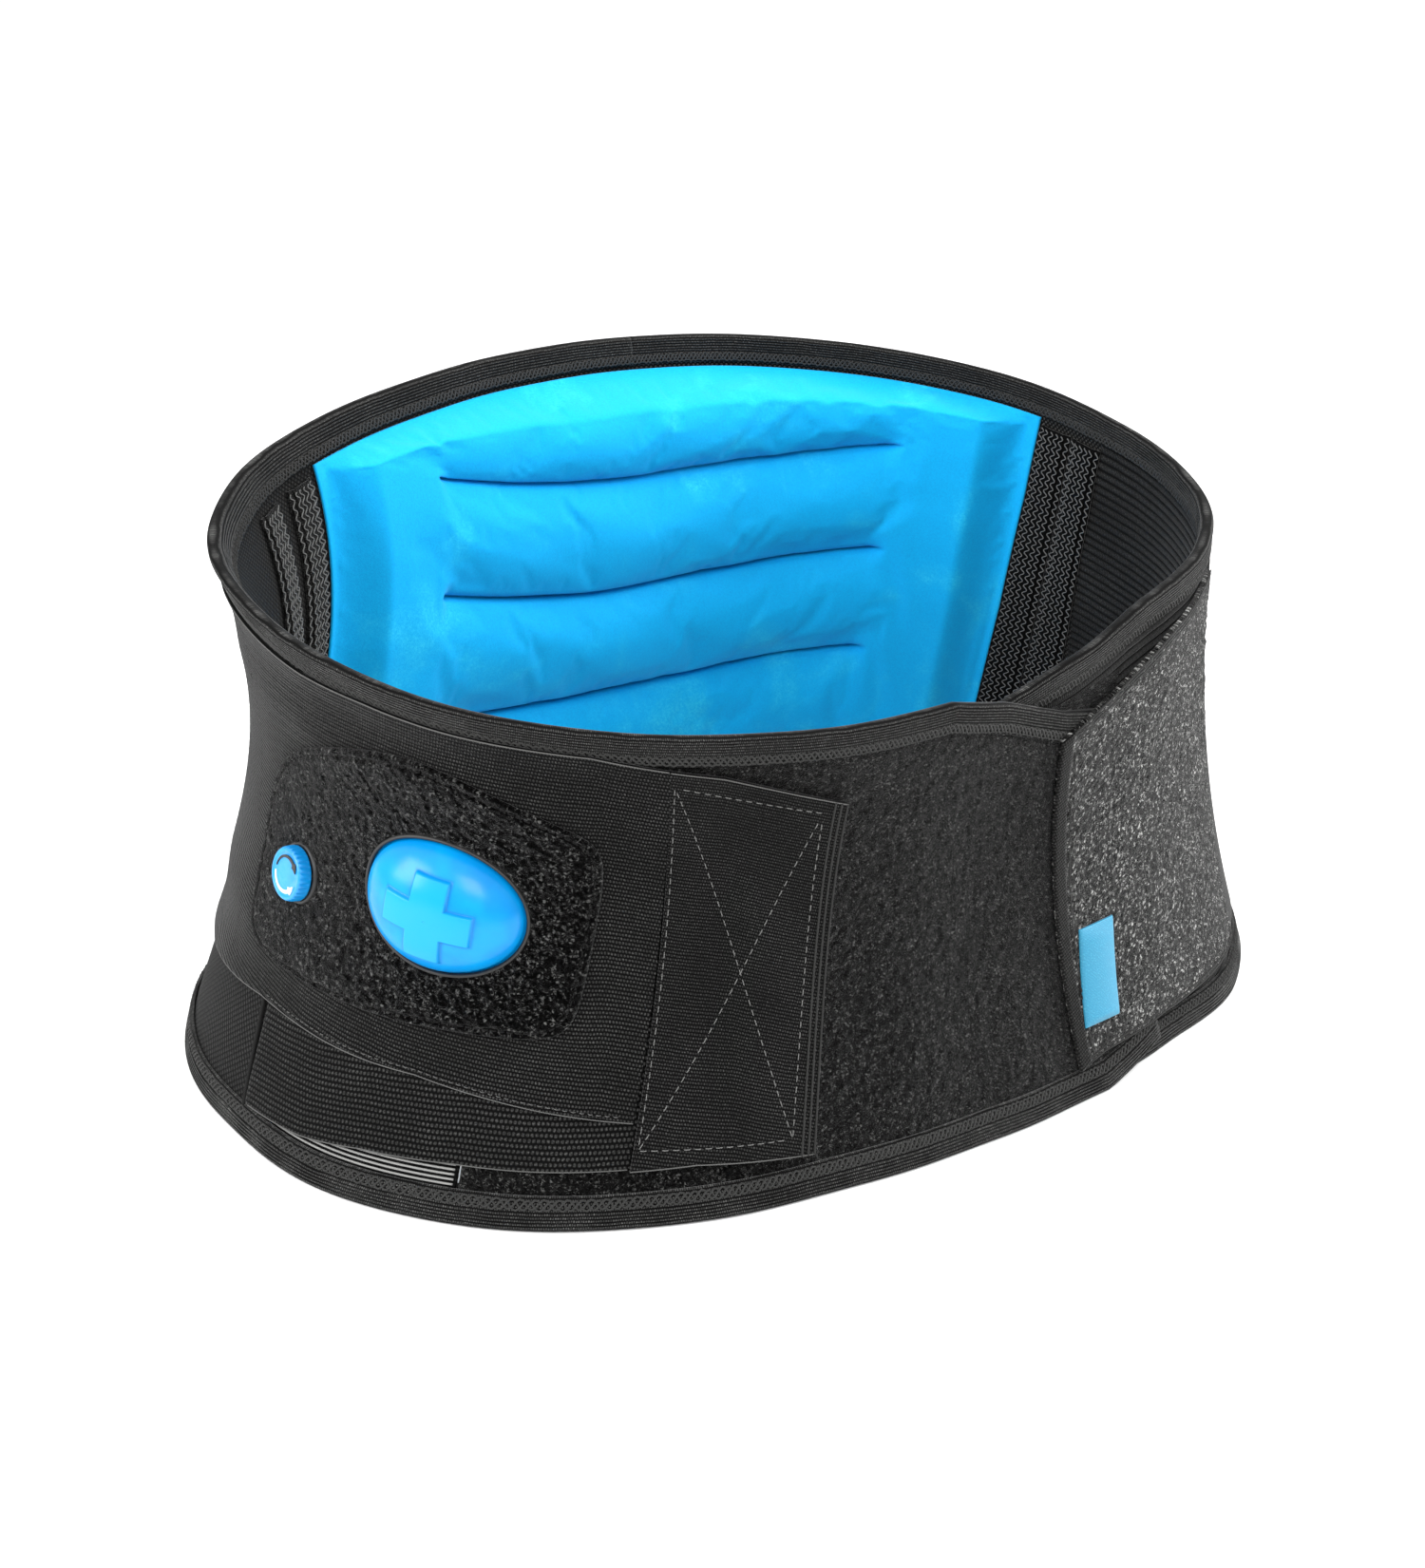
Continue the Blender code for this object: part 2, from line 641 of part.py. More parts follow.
def make_strap_tab():
    start = tuple(angle + SEAM for angle in TAB_START)
    cloth(
        "strap_tab", "elastic", "strap_tab", start, TAB_END, BAND_BOTTOM, STRAP_TOP,
        lambda degrees, height: STRAP_OUT, STRAP_THICK,
    )
    cloth(
        "strap_tab_hook", "hook", "strap_tab", (245.0, 248.5), (260.5, 266.0), ((0, 0.15), (1, 0.15)),
        ((0, 0.78), (1, 0.78)), lambda degrees, height: LOWER_BAND_OUT, LOWER_BAND_THICK,
    )


def make_pump():
    corners = tuple((x * MM, y * MM) for x, y in PATCH_CORNERS)
    patch = add_object(
        "pump_patch",
        ring_mesh(
            BULB_PLACE, ellipse((COLLAR_HALF[0] + 0.5 * MM, COLLAR_HALF[1] + 0.5 * MM)), soft_polygon(corners),
            lambda degrees, height: strap_level(degrees, height) + STRAP_THICK + 2 * GAP,
            lambda degrees, height: strap_level(degrees, height) + STRAP_THICK + 2 * GAP + PATCH_THICK, rings=4,
        ),
        "loop pile", "strap",
    )
    cut(patch, peg_mesh(KNOB_PLACE, 3.6 * MM, 4 * MM, 14 * MM), "patch_spindle_hole_cutter")
    flat = lambda out: lambda degrees, height: out
    collar = ring_mesh(
        BULB_PLACE, ellipse((BULB_HOLE[0] - 0.3 * MM, BULB_HOLE[1] - 0.3 * MM)), ellipse(COLLAR_HALF),
        flat(PATCH_OUT), flat(PATCH_OUT + 2.2 * MM),
    )
    add_object("bulb_collar", collar, "blue rubber", "strap")
    base = disc_mesh(BULB_PLACE, COLLAR_HALF, LOWER_BAND_OUT, 4.0 * MM)
    add_object("pump_base", base, "blue rubber", "strap")
    inlet = disc_mesh(BULB_PLACE, (4 * MM, 4 * MM), 4.0 * MM + GAP, 5.4 * MM, cells=4)
    add_object("inlet_valve", inlet, "black plastic", "strap")
    body = disc_mesh(KNOB_PLACE, (8.5 * MM, 8.5 * MM), LOWER_BAND_OUT, 5.5 * MM)
    add_object("valve_body", body, "black plastic", "strap")


def make_bulb():
    """The dome that the thumb squeezes."""

    def side(shrink, drop):
        def point(u, v):
            x, y = round_square(u, v)
            rise = (1 - min(1.0, x * x + y * y) ** 1.25) ** 0.62
            half = [size - shrink for size in BULB_HALF]
            return beside(BULB_PLACE, x * half[0], y * half[1], BULB_REST + (BULB_HEIGHT - drop) * rise)

        return point

    mesh = sheet_mesh(12, 12, side(BULB_WALL, BULB_WALL), side(0, 0))
    add_object("pump_bulb", mesh, "blue rubber", "bulb")


def make_knob():
    low = PATCH_OUT + PATCH_THICK + 0.5 * MM
    knurls = 24
    mesh = bmesh.new()
    bmesh.ops.create_cone(
        mesh, cap_ends=True, segments=2 * knurls, radius1=KNOB_RADIUS, radius2=KNOB_RADIUS, depth=KNOB_HEIGHT
    )
    for index, vertex in enumerate(mesh.verts):
        turn = math.atan2(vertex.co.y, vertex.co.x)
        inset = 0.96 if round(turn * knurls / math.pi) % 2 else 1.0
        taper = 0.93 if vertex.co.z > 0 else 1.0
        vertex.co.x *= inset * taper
        vertex.co.y *= inset * taper
    bmesh.ops.transform(mesh, matrix=square_frame(KNOB_PLACE, low + KNOB_HEIGHT / 2), verts=mesh.verts)
    add_object("valve_knob", mesh, "blue rubber", "valve_knob")
    spindle = peg_mesh(KNOB_PLACE, SPINDLE_RADIUS, 5.5 * MM + 1.5 * GAP, low - GAP)
    add_object("valve_spindle", spindle, "black plastic", "valve_knob")


# --- wing ------------------------------------------------------------------------------------------------------


def make_wing():
    level = lambda degrees, height: wing_level(degrees)
    hinge = 360 + RIGHT_HINGE
    bands = (
        ("wing_band", "wing", WING_END + SEAM, WING_ROOT - SEAM),
        ("wing_root", "right_side", WING_ROOT + SEAM, hinge - SEAM),
        ("wing_anchor", "back", hinge + SEAM, WING_ANCHOR_END),
    )
    for name, body, start, end in bands:
        cloth(
            name, "elastic", body, start, end, WING_BOTTOM, WING_TOP, lambda degrees, height: BAND_OUT, STRAP_THICK
        )
    cloth(
        "wing_panel", "grey loop pile", "wing", WING_HINGE + SEAM, WING_END - SEAM, WING_BOTTOM, WING_TOP, level, CLOTH
    )


def make_wing_tab():
    outer = WING_OUT + CLOTH
    cloth(
        "wing_tab", "grey loop pile", "wing_tab", WING_START, WING_HINGE - SEAM, WING_BOTTOM, WING_TOP,
        lambda degrees, height: WING_OUT, CLOTH,
    )
    cloth(
        "wing_hem", "binding", "wing_tab", WING_START + 0.1, WING_START + 2.0, WING_BOTTOM, WING_TOP,
        lambda degrees, height: outer + GAP, 0.6 * MM,
    )
    cloth(
        "wing_tab_hook", "hook", "wing_tab", WING_START + 1.5, WING_HINGE - 1.0, ((0, 0.15), (1, 0.15)),
        ((0, 0.70), (1, 0.70)), lambda degrees, height: LOWER_BAND_OUT, LOWER_BAND_THICK,
    )
    cloth(
        "side_label", "blue label", "wing_tab", (307.0, 308.6), (313.4, 315.0), ((0, 0.158), (1, 0.158)),
        ((0, 0.375), (1, 0.375)), lambda degrees, height: outer + GAP, 0.8 * MM, rows=3,
    )


# --- assembly --------------------------------------------------------------------------------------------------


def hinge_foot(degrees, out=BINDING_OUT + BINDING_WALL + 0.6 * MM):
    """Where an upright hinge axis stands: just outside the belt's widest level there, its lower edge."""
    place = wrap(degrees, 0.0, out)
    return Vector((place.x, place.y, 0))


def tab_hinge():
    """The lower and upper ends of the slanting line that the strap's tab peels about, just off its outer face."""
    out = STRAP_OUT + STRAP_THICK + 1.5 * MM
    return [
        wrap(TAB_START[0], knots(BAND_BOTTOM, TAB_START[0]), out), wrap(TAB_START[1], knots(STRAP_TOP, TAB_START[1]), out)
    ]


def wing_hinge():
    """The same for the wing's tab."""
    out = WING_OUT + CLOTH + 1.0 * MM
    return [wrap(WING_HINGE, knots(edge, WING_HINGE), out) for edge in (WING_BOTTOM, WING_TOP)]


def add_bodies():
    BODIES["back"] = None
    add_body("left_side", hinge_foot(LEFT_HINGE))
    add_body("right_side", hinge_foot(RIGHT_HINGE))
    add_body("wing", hinge_foot(WING_ROOT))
    add_body("strap", hinge_foot(STRAP_HINGE))
    add_body("strap_tab", tab_hinge()[0])
    add_body("wing_tab", wing_hinge()[0])
    add_body("bulb", wrap(*BULB_PLACE, BULB_REST))
    add_body("valve_knob", wrap(*KNOB_PLACE, PATCH_OUT + PATCH_THICK))


clear_scene()
BELT = new_collection("lumbar_support_belt")
CUTTERS = new_collection("cutters")
BODIES = {}
add_bodies()
make_back()
make_left_side()
make_right_side()
make_stays()
make_pad()
make_hose()
make_strap()
make_strap_tab()
make_pump()
make_bulb()
make_knob()
make_wing()
make_wing_tab()
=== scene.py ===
"""Looks of the lumbar support belt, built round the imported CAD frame.

Metres, +Z up, in the frame's own axes. A place on the belt is (angle, height, out), as in the CAD: the angle in
degrees anticlockwise from +X seen from above, the height as a fraction of the belt's own height there, and out the
level distance outside the base cloth's inner face. Right-hand pieces count their angles down from 450 to 280.
"""

import math

import bpy
import numpy as np
from mathutils import Matrix, Vector


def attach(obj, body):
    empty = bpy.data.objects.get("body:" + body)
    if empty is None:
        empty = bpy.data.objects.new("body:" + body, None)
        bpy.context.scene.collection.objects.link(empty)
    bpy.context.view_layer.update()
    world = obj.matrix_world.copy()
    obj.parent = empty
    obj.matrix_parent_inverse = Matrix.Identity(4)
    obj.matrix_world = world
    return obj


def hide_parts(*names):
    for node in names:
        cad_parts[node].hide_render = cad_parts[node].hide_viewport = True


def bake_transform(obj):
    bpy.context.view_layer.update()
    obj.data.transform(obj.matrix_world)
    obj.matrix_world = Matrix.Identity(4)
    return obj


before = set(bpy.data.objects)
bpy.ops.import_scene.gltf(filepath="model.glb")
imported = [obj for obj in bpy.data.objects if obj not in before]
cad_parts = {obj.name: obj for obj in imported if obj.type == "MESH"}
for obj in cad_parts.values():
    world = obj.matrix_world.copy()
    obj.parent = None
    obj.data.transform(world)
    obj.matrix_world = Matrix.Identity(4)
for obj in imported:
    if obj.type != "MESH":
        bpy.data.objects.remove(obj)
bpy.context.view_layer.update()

MM = 0.001

# Form of the belt
CENTRE = (0.0068, 0.0044)
TOP_OVAL = (0.1781, 0.1376, 2.243)
BOTTOM_OVAL = (0.2057, 0.1479, 2.350)
BOTTOM_SHIFT = (0.0060, -0.0023)
OVAL_TURN = math.radians(19)
BACK_SWELL = 0.0446
WAIST_LEFT, WAIST_RIGHT = 0.0210, 0.0083
WAIST_SKEW = 0.35
HEIGHT = 0.1795
BACK_RISE = 0.031
LIFT = 0.0013

# Seams and ends, as angles
MESH_END, ELASTIC_END, FRONT_END = 200.0, 225.7, 321.0
MIDDLE = 90.0
RIGHT_SEAM = (391.0, 378.6)  # at the lower and upper edge: it slants beside the stay casings
FLAP_END = 280.0
FLAP_LEVEL = -5.2
FLAP_BEND = (324.0, 342.0)
TAB_START = (241.4, 246.1)
TAB_END = (261.5, 268.1)
STRAP_TOP = ((134, 0.94), (205, 0.944), (214, 0.953), (238, 0.955), (252, 0.915), (268, 0.829))
STRAP_BOTTOM = ((134, 0.24), (183, 0.22), (198, 0.25), (220, 0.25), (243, 0.193))
BAND_BOTTOM = ((200, 0.056), (209, 0.070), (216, 0.092), (225, 0.103), (248, 0.108), (261, 0.086))
ANCHOR_START = 134.0
STRAP_HINGE = 189.4
WING_START, WING_HINGE, WING_END, WING_ROOT, WING_ANCHOR_END = 304.8, 316.2, 346.0, 354.0, 404.0
WING_TOP = ((304, 0.82), (312, 0.87), (319, 0.904), (328, 0.932), (345, 0.925), (404, 0.90))
WING_BOTTOM = ((304, 0.066), (310, 0.088), (322, 0.102), (343, 0.085), (404, 0.14))
FRONT_TOP = ((284, 1.0), (294.5, 0.952), (306.4, 0.872), (321, 0.800))
FRONT_BOTTOM = ((310, 0.0), (321, 0.05))
RIGHT_TOP = ((280, 0.89), (292, 0.92), (305, 0.967), (322, 1.0))
FULL_TOP, FULL_BOTTOM = ((0, 1.0), (1, 1.0)), ((0, 0.0), (1, 0.0))
SEAM_GAP = 0.05

# Levels and thicknesses, in mm out
CLOTH = 1.8
STRAP_OUT, STRAP_THICK, STRAP_HUMP = 3.6, 1.2, 2.4
BAND_OUT, WING_OUT = 2.4, 3.6
PATCH_THICK = 1.6
PATCH_OUT = 7.8

# Pump and pad
BULB_PLACE = (221.2, 0.588)
BULB_HALF = (24.6, 19.6)
BULB_HEIGHT, BULB_REST = 12.0, 8.4
PLUS_BARS = ((12.2, 4.7), (12.9, 4.9))  # half the length and width of its level and its upright bar, in mm
PATCH_CORNERS = ((-60, 31), (-4, 48), (50, 28), (39, -36), (-80, -41), (-82, 10))
KNOB_PLACE = (201.9, 0.525)
KNOB_LEVEL = 10.1
PAD_BOTTOM, PAD_TOP = 0.10, 0.947
PAD_RIGHT = ((0.1, 43.0), (0.5, 36.0), (0.775, 31.9), (0.95, 29.8))
PAD_LEFT = ((0.1, 158.0), (0.6, 156.4), (0.95, 151.4))
CASINGS = {"right": ((-2.9, -2.9), (-8.3, -8.3)), "left": ((3.1, 3.9), (8.6, 12.2))}  # at the lower and upper end
CASING_HALF = {"right": 2.5, "left": 2.6}

# Where the cloth bends between two bodies, as angles
ZONES = {
    "left": ("back", "left_side", 168.5, 189.0),
    "right": ("back", "right_side", 374.0, 355.0),
    "strap": ("left_side", "strap", 189.5, 198.0),
    "band": ("left_side", "strap", 202.0, 214.0),
    "wing": ("right_side", "wing", 354.0, 339.0),
}


# --- form ---


def smooth(x):
    x = np.clip(x, 0.0, 1.0)
    return x * x * (3 - 2 * x)


def knots(points, x):
    return np.interp(x, [p[0] for p in points], [p[1] for p in points])


def oval(angle, half_width, half_depth, squareness):
    across = np.abs(np.cos(angle - OVAL_TURN) / half_width) ** squareness
    along = np.abs(np.sin(angle - OVAL_TURN) / half_depth) ** squareness
    return (across + along) ** (-1 / squareness) * (1 + BACK_SWELL * np.sin(angle))


def belt_height(degrees):
    """In mm."""
    return 1000 * (HEIGHT + BACK_RISE * np.sin(np.radians(degrees)))


def on_base(degrees, height):
    degrees, height = np.broadcast_arrays(np.asarray(degrees, float), np.asarray(height, float))
    angle = np.radians(degrees)
    low, high = oval(angle, *BOTTOM_OVAL), oval(angle, *TOP_OVAL)
    waist = (WAIST_LEFT + WAIST_RIGHT) / 2 - (WAIST_LEFT - WAIST_RIGHT) / 2 * np.cos(angle)
    level = np.maximum(height, 0.0) ** (1 + WAIST_SKEW * (0.5 - 0.5 * np.cos(angle)))
    radius = low + (high - low) * height - 4 * waist * level * (1 - level)
    x = radius * np.cos(angle) + BOTTOM_SHIFT[0] * (1 - height) - CENTRE[0]
    y = radius * np.sin(angle) + BOTTOM_SHIFT[1] * (1 - height) - CENTRE[1]
    return np.stack([x, y, LIFT + height * belt_height(degrees) * MM], -1)


def outward(degrees, height):
    along = on_base(np.asarray(degrees) + 0.5, height) - on_base(np.asarray(degrees) - 0.5, height)
    out = np.stack([along[..., 1], -along[..., 0], np.zeros_like(along[..., 0])], -1)
    return out / np.linalg.norm(out, axis=-1, keepdims=True)


def wrap(degrees, height, out):
    """Points at a place, with out in mm. The cloth waves a little, and every layer waves alike."""
    degrees, height, out = np.broadcast_arrays(
        np.asarray(degrees, float), np.asarray(height, float), np.asarray(out, float)
    )
    angle = np.radians(degrees)
    wave = 0.35 * np.sin(9 * angle + 2.1 * height + 0.6) + 0.25 * np.sin(17 * angle - 4.0 * height + 1.9)
    return on_base(degrees, height) + outward(degrees, height) * ((out + wave) * MM)[..., None]


def per_degree(degrees, height):
    """The belt's length per degree there, in mm."""
    ends = on_base(np.asarray(degrees) + 0.5, height) - on_base(np.asarray(degrees) - 0.5, height)
    return np.linalg.norm(ends, axis=-1) * 1000


ARC_ANGLES = np.arange(60.0, 471.0, 0.5)
ARC_LENGTHS = np.concatenate([[0.0], np.cumsum(per_degree(ARC_ANGLES[:-1] + 0.25, 0.5) * 0.5)])


def arc(degrees):
    """How far along the belt an angle lies, in mm."""
    return np.interp(degrees, ARC_ANGLES, ARC_LENGTHS)


def beside(place, across, up):
    """The angle and height that many mm along the belt and up from a place on it."""
    degrees, height = place
    return degrees + across / per_degree(degrees, height), height + up / belt_height(degrees)


def square_frame(place, out):
    degrees, height = place
    across = on_base(degrees + 0.5, height) - on_base(degrees - 0.5, height)
    up = on_base(degrees, height + 0.01) - on_base(degrees, height - 0.01)
    across, up = (Vector(v).normalized() for v in (across, up))
    off = across.cross(up).normalized()
    turned = Matrix((across, off.cross(across), off)).transposed().to_4x4()
    return Matrix.Translation(Vector(wrap(degrees, height, out))) @ turned


def strap_level(degrees, height):
    rise = smooth((degrees - ANCHOR_START) / 9) * smooth((241.5 - degrees) / 8)
    band = smooth((height - 0.27) / 0.12) * smooth((0.92 - height) / 0.12)
    return STRAP_OUT + STRAP_HUMP * rise * band


def flap_level(degrees):
    return FLAP_LEVEL * smooth((FLAP_BEND[1] - degrees) / (FLAP_BEND[1] - FLAP_BEND[0]))


def side_level(degrees):
    """The right side's level: the back's and side's is zero, and its end steps in to become the inner flap."""
    return np.where(np.asarray(degrees) < 345, flap_level(degrees), 0.0)


def wing_level(degrees):
    return BAND_OUT + (WING_OUT - BAND_OUT) * smooth((WING_END - degrees) / (WING_END - WING_HINGE))


def at_level(level):
    """The level function of a layer that lies at one level."""
    return lambda degrees, height: np.full_like(degrees, level)


def hashed(x, y, seed):
    mixed = (x.astype(np.int64) * 374761393 + y.astype(np.int64) * 668265263 + seed * 974634777) & 0xFFFFFFFF
    mixed = ((mixed ^ (mixed >> 13)) * 1274126177) & 0xFFFFFFFF
    return ((mixed ^ (mixed >> 16)) & 0xFFFF) / 65535.0


def noise(x, y, size, seed):
    """Smooth noise from 0 to 1, with features of about that size."""
    x, y = np.asarray(x) / size, np.asarray(y) / size
    ix, iy = np.floor(x), np.floor(y)
    fx, fy = smooth(x - ix), smooth(y - iy)
    low = hashed(ix, iy, seed) * (1 - fx) + hashed(ix + 1, iy, seed) * fx
    high = hashed(ix, iy + 1, seed) * (1 - fx) + hashed(ix + 1, iy + 1, seed) * fx
    return low * (1 - fy) + high * fy


def pile(x, y, seed=5):
    """The uneven top of a loop pile, in mm."""
    return 0.9 * (noise(x, y, 1.7, seed) - 0.5) + 0.5 * (noise(x, y, 0.9, seed + 1) - 0.5)


# --- meshes ---


def steps(length, step, end=0.7):
    """Fractions from 0 to 1 along a length in mm, with lines close to both ends for a rounded edge."""
    near = np.array([0.0, 0.12, 0.35, 1.0]) * end
    inner = np.linspace(near[-1], length - near[-1], max(2, round((length - 2 * near[-1]) / step) + 1))
    return np.concatenate([near[:-1], inner, length - near[:-1][::-1]]) / length


def rounded(distance, radius=0.7, least=0.18):
    """How full the cloth is that far from its cut edge, from least to 1."""
    t = np.clip(distance / radius, 0, 1)
    return least + (1 - least) * np.sqrt(1 - (1 - t) ** 2)


def grid_quads(nu, nv, first=0, ring=False):
    i, j = np.meshgrid(np.arange(nu if ring else nu - 1), np.arange(nv - 1), indexing="ij")
    a, b = first + i * nv + j, first + (i + 1) % nu * nv + j
    return np.stack([a, b, b + 1, a + 1], -1).reshape(-1, 4)


def shell_quads(nu, nv, ring=False):
    """The faces of a closed sheet: an outer grid, an inner one after it, and the rim between them."""
    n = nu * nv
    i = np.arange(nu if ring else nu - 1)
    a, b = i * nv, (i + 1) % nu * nv
    top = nv - 1
    rims = [np.stack([b, a, a + n, b + n], -1), np.stack([a + top, b + top, b + top + n, a + top + n], -1)]
    if not ring:
        j = np.arange(nv - 1)
        last = (nu - 1) * nv
        rims += [np.stack([j, j + 1, j + 1 + n, j + n], -1)]
        rims += [np.stack([last + j + 1, last + j, last + j + n, last + j + 1 + n], -1)]
    return np.concatenate([grid_quads(nu, nv, 0, ring), grid_quads(nu, nv, n, ring)[:, ::-1], *rims])


def both(outer, inner):
    """The points of a sheet's two faces, in the order of shell_quads."""
    return np.concatenate([outer.reshape(-1, 3), inner.reshape(-1, 3)])


def both_uv(x, y):
    return np.concatenate([np.stack([x, y], -1).reshape(-1, 2)] * 2)


def add_mesh(name, points, quads, uv, material, faces_smooth=True):
    data = bpy.data.meshes.new(name)
    points = np.asarray(points, np.float32).reshape(-1, 3)
    quads = np.asarray(quads, np.int32)
    data.vertices.add(len(points))
    data.vertices.foreach_set("co", points.ravel())
    data.loops.add(quads.size)
    data.loops.foreach_set("vertex_index", quads.ravel())
    data.polygons.add(len(quads))
    data.polygons.foreach_set("loop_start", np.arange(0, quads.size, 4, dtype=np.int32))
    data.update(calc_edges=True)
    layer = data.uv_layers.new(name="cloth")
    layer.data.foreach_set("uv", np.asarray(uv, np.float32).reshape(-1, 2)[quads.ravel()].ravel())
    data.polygons.foreach_set("use_smooth", np.full(len(quads), faces_smooth))
    data.materials.append(MATERIALS[material])
    data.update()
    obj = bpy.data.objects.new(name, data)
    bpy.context.scene.collection.objects.link(obj)
    return obj


def move_with(obj, where, slot, *nodes):
    """Rides a piece on a body, or for a zone or a line keeps it where it lies, and hides the CAD nodes it stands for.
    The slot is not used.
    """
    if where in ZONES:
        a, b, start, end = ZONES[where]
        tuple(wrap(start, 0.5, 2.0))
        tuple(wrap(end, 0.5, 2.0))
        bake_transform(obj)
    elif where in LINES:
        a, b, start, end = LINES[where]
        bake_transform(obj)
    else:
        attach(obj, where)
    if nodes:
        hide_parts(*nodes)
    return obj


def hinge_line(place_low, place_high, out, lead, span):
    """Start and end points of a line that runs square to a slanting line along the belt. It starts lead mm past the
    line, because the seam bows that far past it at the waist."""
    low, high = (Vector(wrap(*place, out)) for place in (place_low, place_high))
    middle = (low + high) / 2
    degrees = (place_low[0] + place_high[0]) / 2
    height = (place_low[1] + place_high[1]) / 2
    along = Vector(on_base(degrees + 0.5, height) - on_base(degrees - 0.5, height)).normalized()
    line = (high - low).normalized()
    along = (along - line * along.dot(line)).normalized()
    return tuple(middle + along * lead * MM), tuple(middle + along * (lead + span) * MM)


def place_at(degrees, edge):
    return degrees, knots(edge, degrees)


LINES = {
    "tab": (
        "strap", "strap_tab",
        *hinge_line(
            place_at(TAB_START[0], BAND_BOTTOM), place_at(TAB_START[1], STRAP_TOP), out=4.2, lead=4.6, span=12.0
        ),
    ),
    "wing_tab": (
        "wing", "wing_tab",
        *hinge_line(
            place_at(WING_HINGE, WING_BOTTOM), place_at(WING_HINGE, WING_TOP), out=4.5, lead=-2.5, span=-10.0
        ),
    ),
}


def cloth(
    name, material, start, end, low, high, inner, thick, step=(2.5, 2.5), relief=None, back=None, top_v=True,
    cut_ends=(True, True),
):
    """A closed sheet of cloth on the belt. Start and end are angles, or (lower, upper) angles of a slanting end.
    inner(degrees, height) and thick are in mm; relief(x, y, degrees, height) is added outside, and back(...) inside.
    An end that isn't a cut end meets the next sheet flush, at full thickness."""
    pair = [np.atleast_1d(np.asarray(edge, float)) for edge in (start, end)]
    width = abs(arc(pair[1].mean()) - arc(pair[0].mean()))
    middle = (pair[0].mean() + pair[1].mean()) / 2
    tall = (knots(high, middle) - knots(low, middle)) * belt_height(middle)
    us, vs = steps(width, step[0]), steps(tall, step[1])
    u, v = np.meshgrid(us, vs, indexing="ij")
    first = pair[0][0] + (pair[0][-1] - pair[0][0]) * v
    last = pair[1][0] + (pair[1][-1] - pair[1][0]) * v
    degrees = first + (last - first) * u
    bottom, top = knots(low, degrees), knots(high, degrees)
    height = bottom + (top - bottom) * v
    x = arc(degrees)
    y = (height - (top if top_v else bottom)) * belt_height(degrees)
    from_ends = [np.where(cut, share * width, width) for cut, share in zip(cut_ends, (u, 1 - u))]
    full = rounded(np.minimum(*from_ends)) * rounded(np.minimum(v, 1 - v) * tall)
    base = inner(degrees, height)
    outer = base + thick * full
    if relief is not None:
        outer = outer + relief(x, y, degrees, height) * full
    if back is not None:
        base = base - back(x, y, degrees, height) * full
    points = both(wrap(degrees, height, outer), wrap(degrees, height, base))
    made = add_mesh(name, points, shell_quads(len(us), len(vs)), both_uv(x, y), material)
    if not all(cut_ends):
        made.data.set_sharp_from_angle(angle=math.radians(78))
    return made


def strands(name, material, paths, radius, sides=4, flat=1.0):
    """Threads: each path is (points, normals), and becomes a closed tube whose width lies along the cloth."""
    all_points, all_quads, all_uv, first = [], [], [], 0
    turn = 2 * np.pi * (np.arange(sides) + 0.5) / sides
    for points, normals in paths:
        tangent = np.gradient(points, axis=0)
        tangent /= np.linalg.norm(tangent, axis=1, keepdims=True) + 1e-12
        side = np.cross(tangent, normals)
        side /= np.linalg.norm(side, axis=1, keepdims=True) + 1e-12
        off = np.cross(side, tangent)
        wide, high = np.cos(turn)[None, :, None], flat * np.sin(turn)[None, :, None]
        ring = points[:, None] + radius * MM * (wide * side[:, None] + high * off[:, None])
        n = len(points)
        i, j = np.meshgrid(np.arange(n - 1), np.arange(sides), indexing="ij")
        a, b = i * sides + j, i * sides + (j + 1) % sides
        quads = np.stack([a, a + sides, b + sides, b], -1).reshape(-1, 4)
        caps = [[0, 1, 2, 3], [(n - 1) * sides + k for k in (3, 2, 1, 0)]]
        if sides == 6:
            caps += [[0, 3, 4, 5], [(n - 1) * sides + k for k in (5, 4, 3, 0)]]
        length = np.concatenate([[0], np.cumsum(np.linalg.norm(np.diff(points, axis=0), axis=1))]) * 1000
        uv = np.stack(np.broadcast_arrays(length[:, None], (turn * radius)[None, :]), -1)
        all_points.append(ring.reshape(-1, 3))
        all_quads.append(np.concatenate([quads, np.array(caps)]) + first)
        all_uv.append(uv.reshape(-1, 2))
        first += n * sides
    return add_mesh(name, *(np.concatenate(part) for part in (all_points, all_quads, all_uv)), material)


def sew(name, material, paths, radius, where, slot, sides=4, flat=0.8):
    move_with(strands(name, material, paths, radius, sides, flat), where, slot)


def path_on(degrees, height, out, inside=False):
    normal = outward(degrees, height)
    return wrap(degrees, height, out), -normal if inside else normal


def running_stitches(line, pitch=3.1, share=0.72, rise=0.30):
    """Separate stitches along a line given as (degrees, height, out) arrays: each dips into the cloth at its ends."""
    degrees, height, out = (np.asarray(v, float) for v in line)
    points = wrap(degrees, height, out)
    length = np.concatenate([[0], np.cumsum(np.linalg.norm(np.diff(points, axis=0), axis=1))]) * 1000
    made = []
    for k in range(int(length[-1] / pitch)):
        at = (k + 0.5 + share * np.array([-0.5, -0.3, 0.0, 0.3, 0.5])) * pitch
        d, h, o = (np.interp(at, length, v) for v in (degrees, height, out))
        lift = np.array([-0.25, 0.75, 1.0, 0.75, -0.25]) * rise
        made.append(path_on(d, h, o + lift))
    return made


def straight(a, b, out, count=40):
    """A straight line on the belt from one (degrees, height) to another, out mm off it."""
    t = np.linspace(0, 1, count)
    degrees, height = a[0] + (b[0] - a[0]) * t, a[1] + (b[1] - a[1]) * t
    return degrees, height, np.full(count, float(out))


# --- materials ---


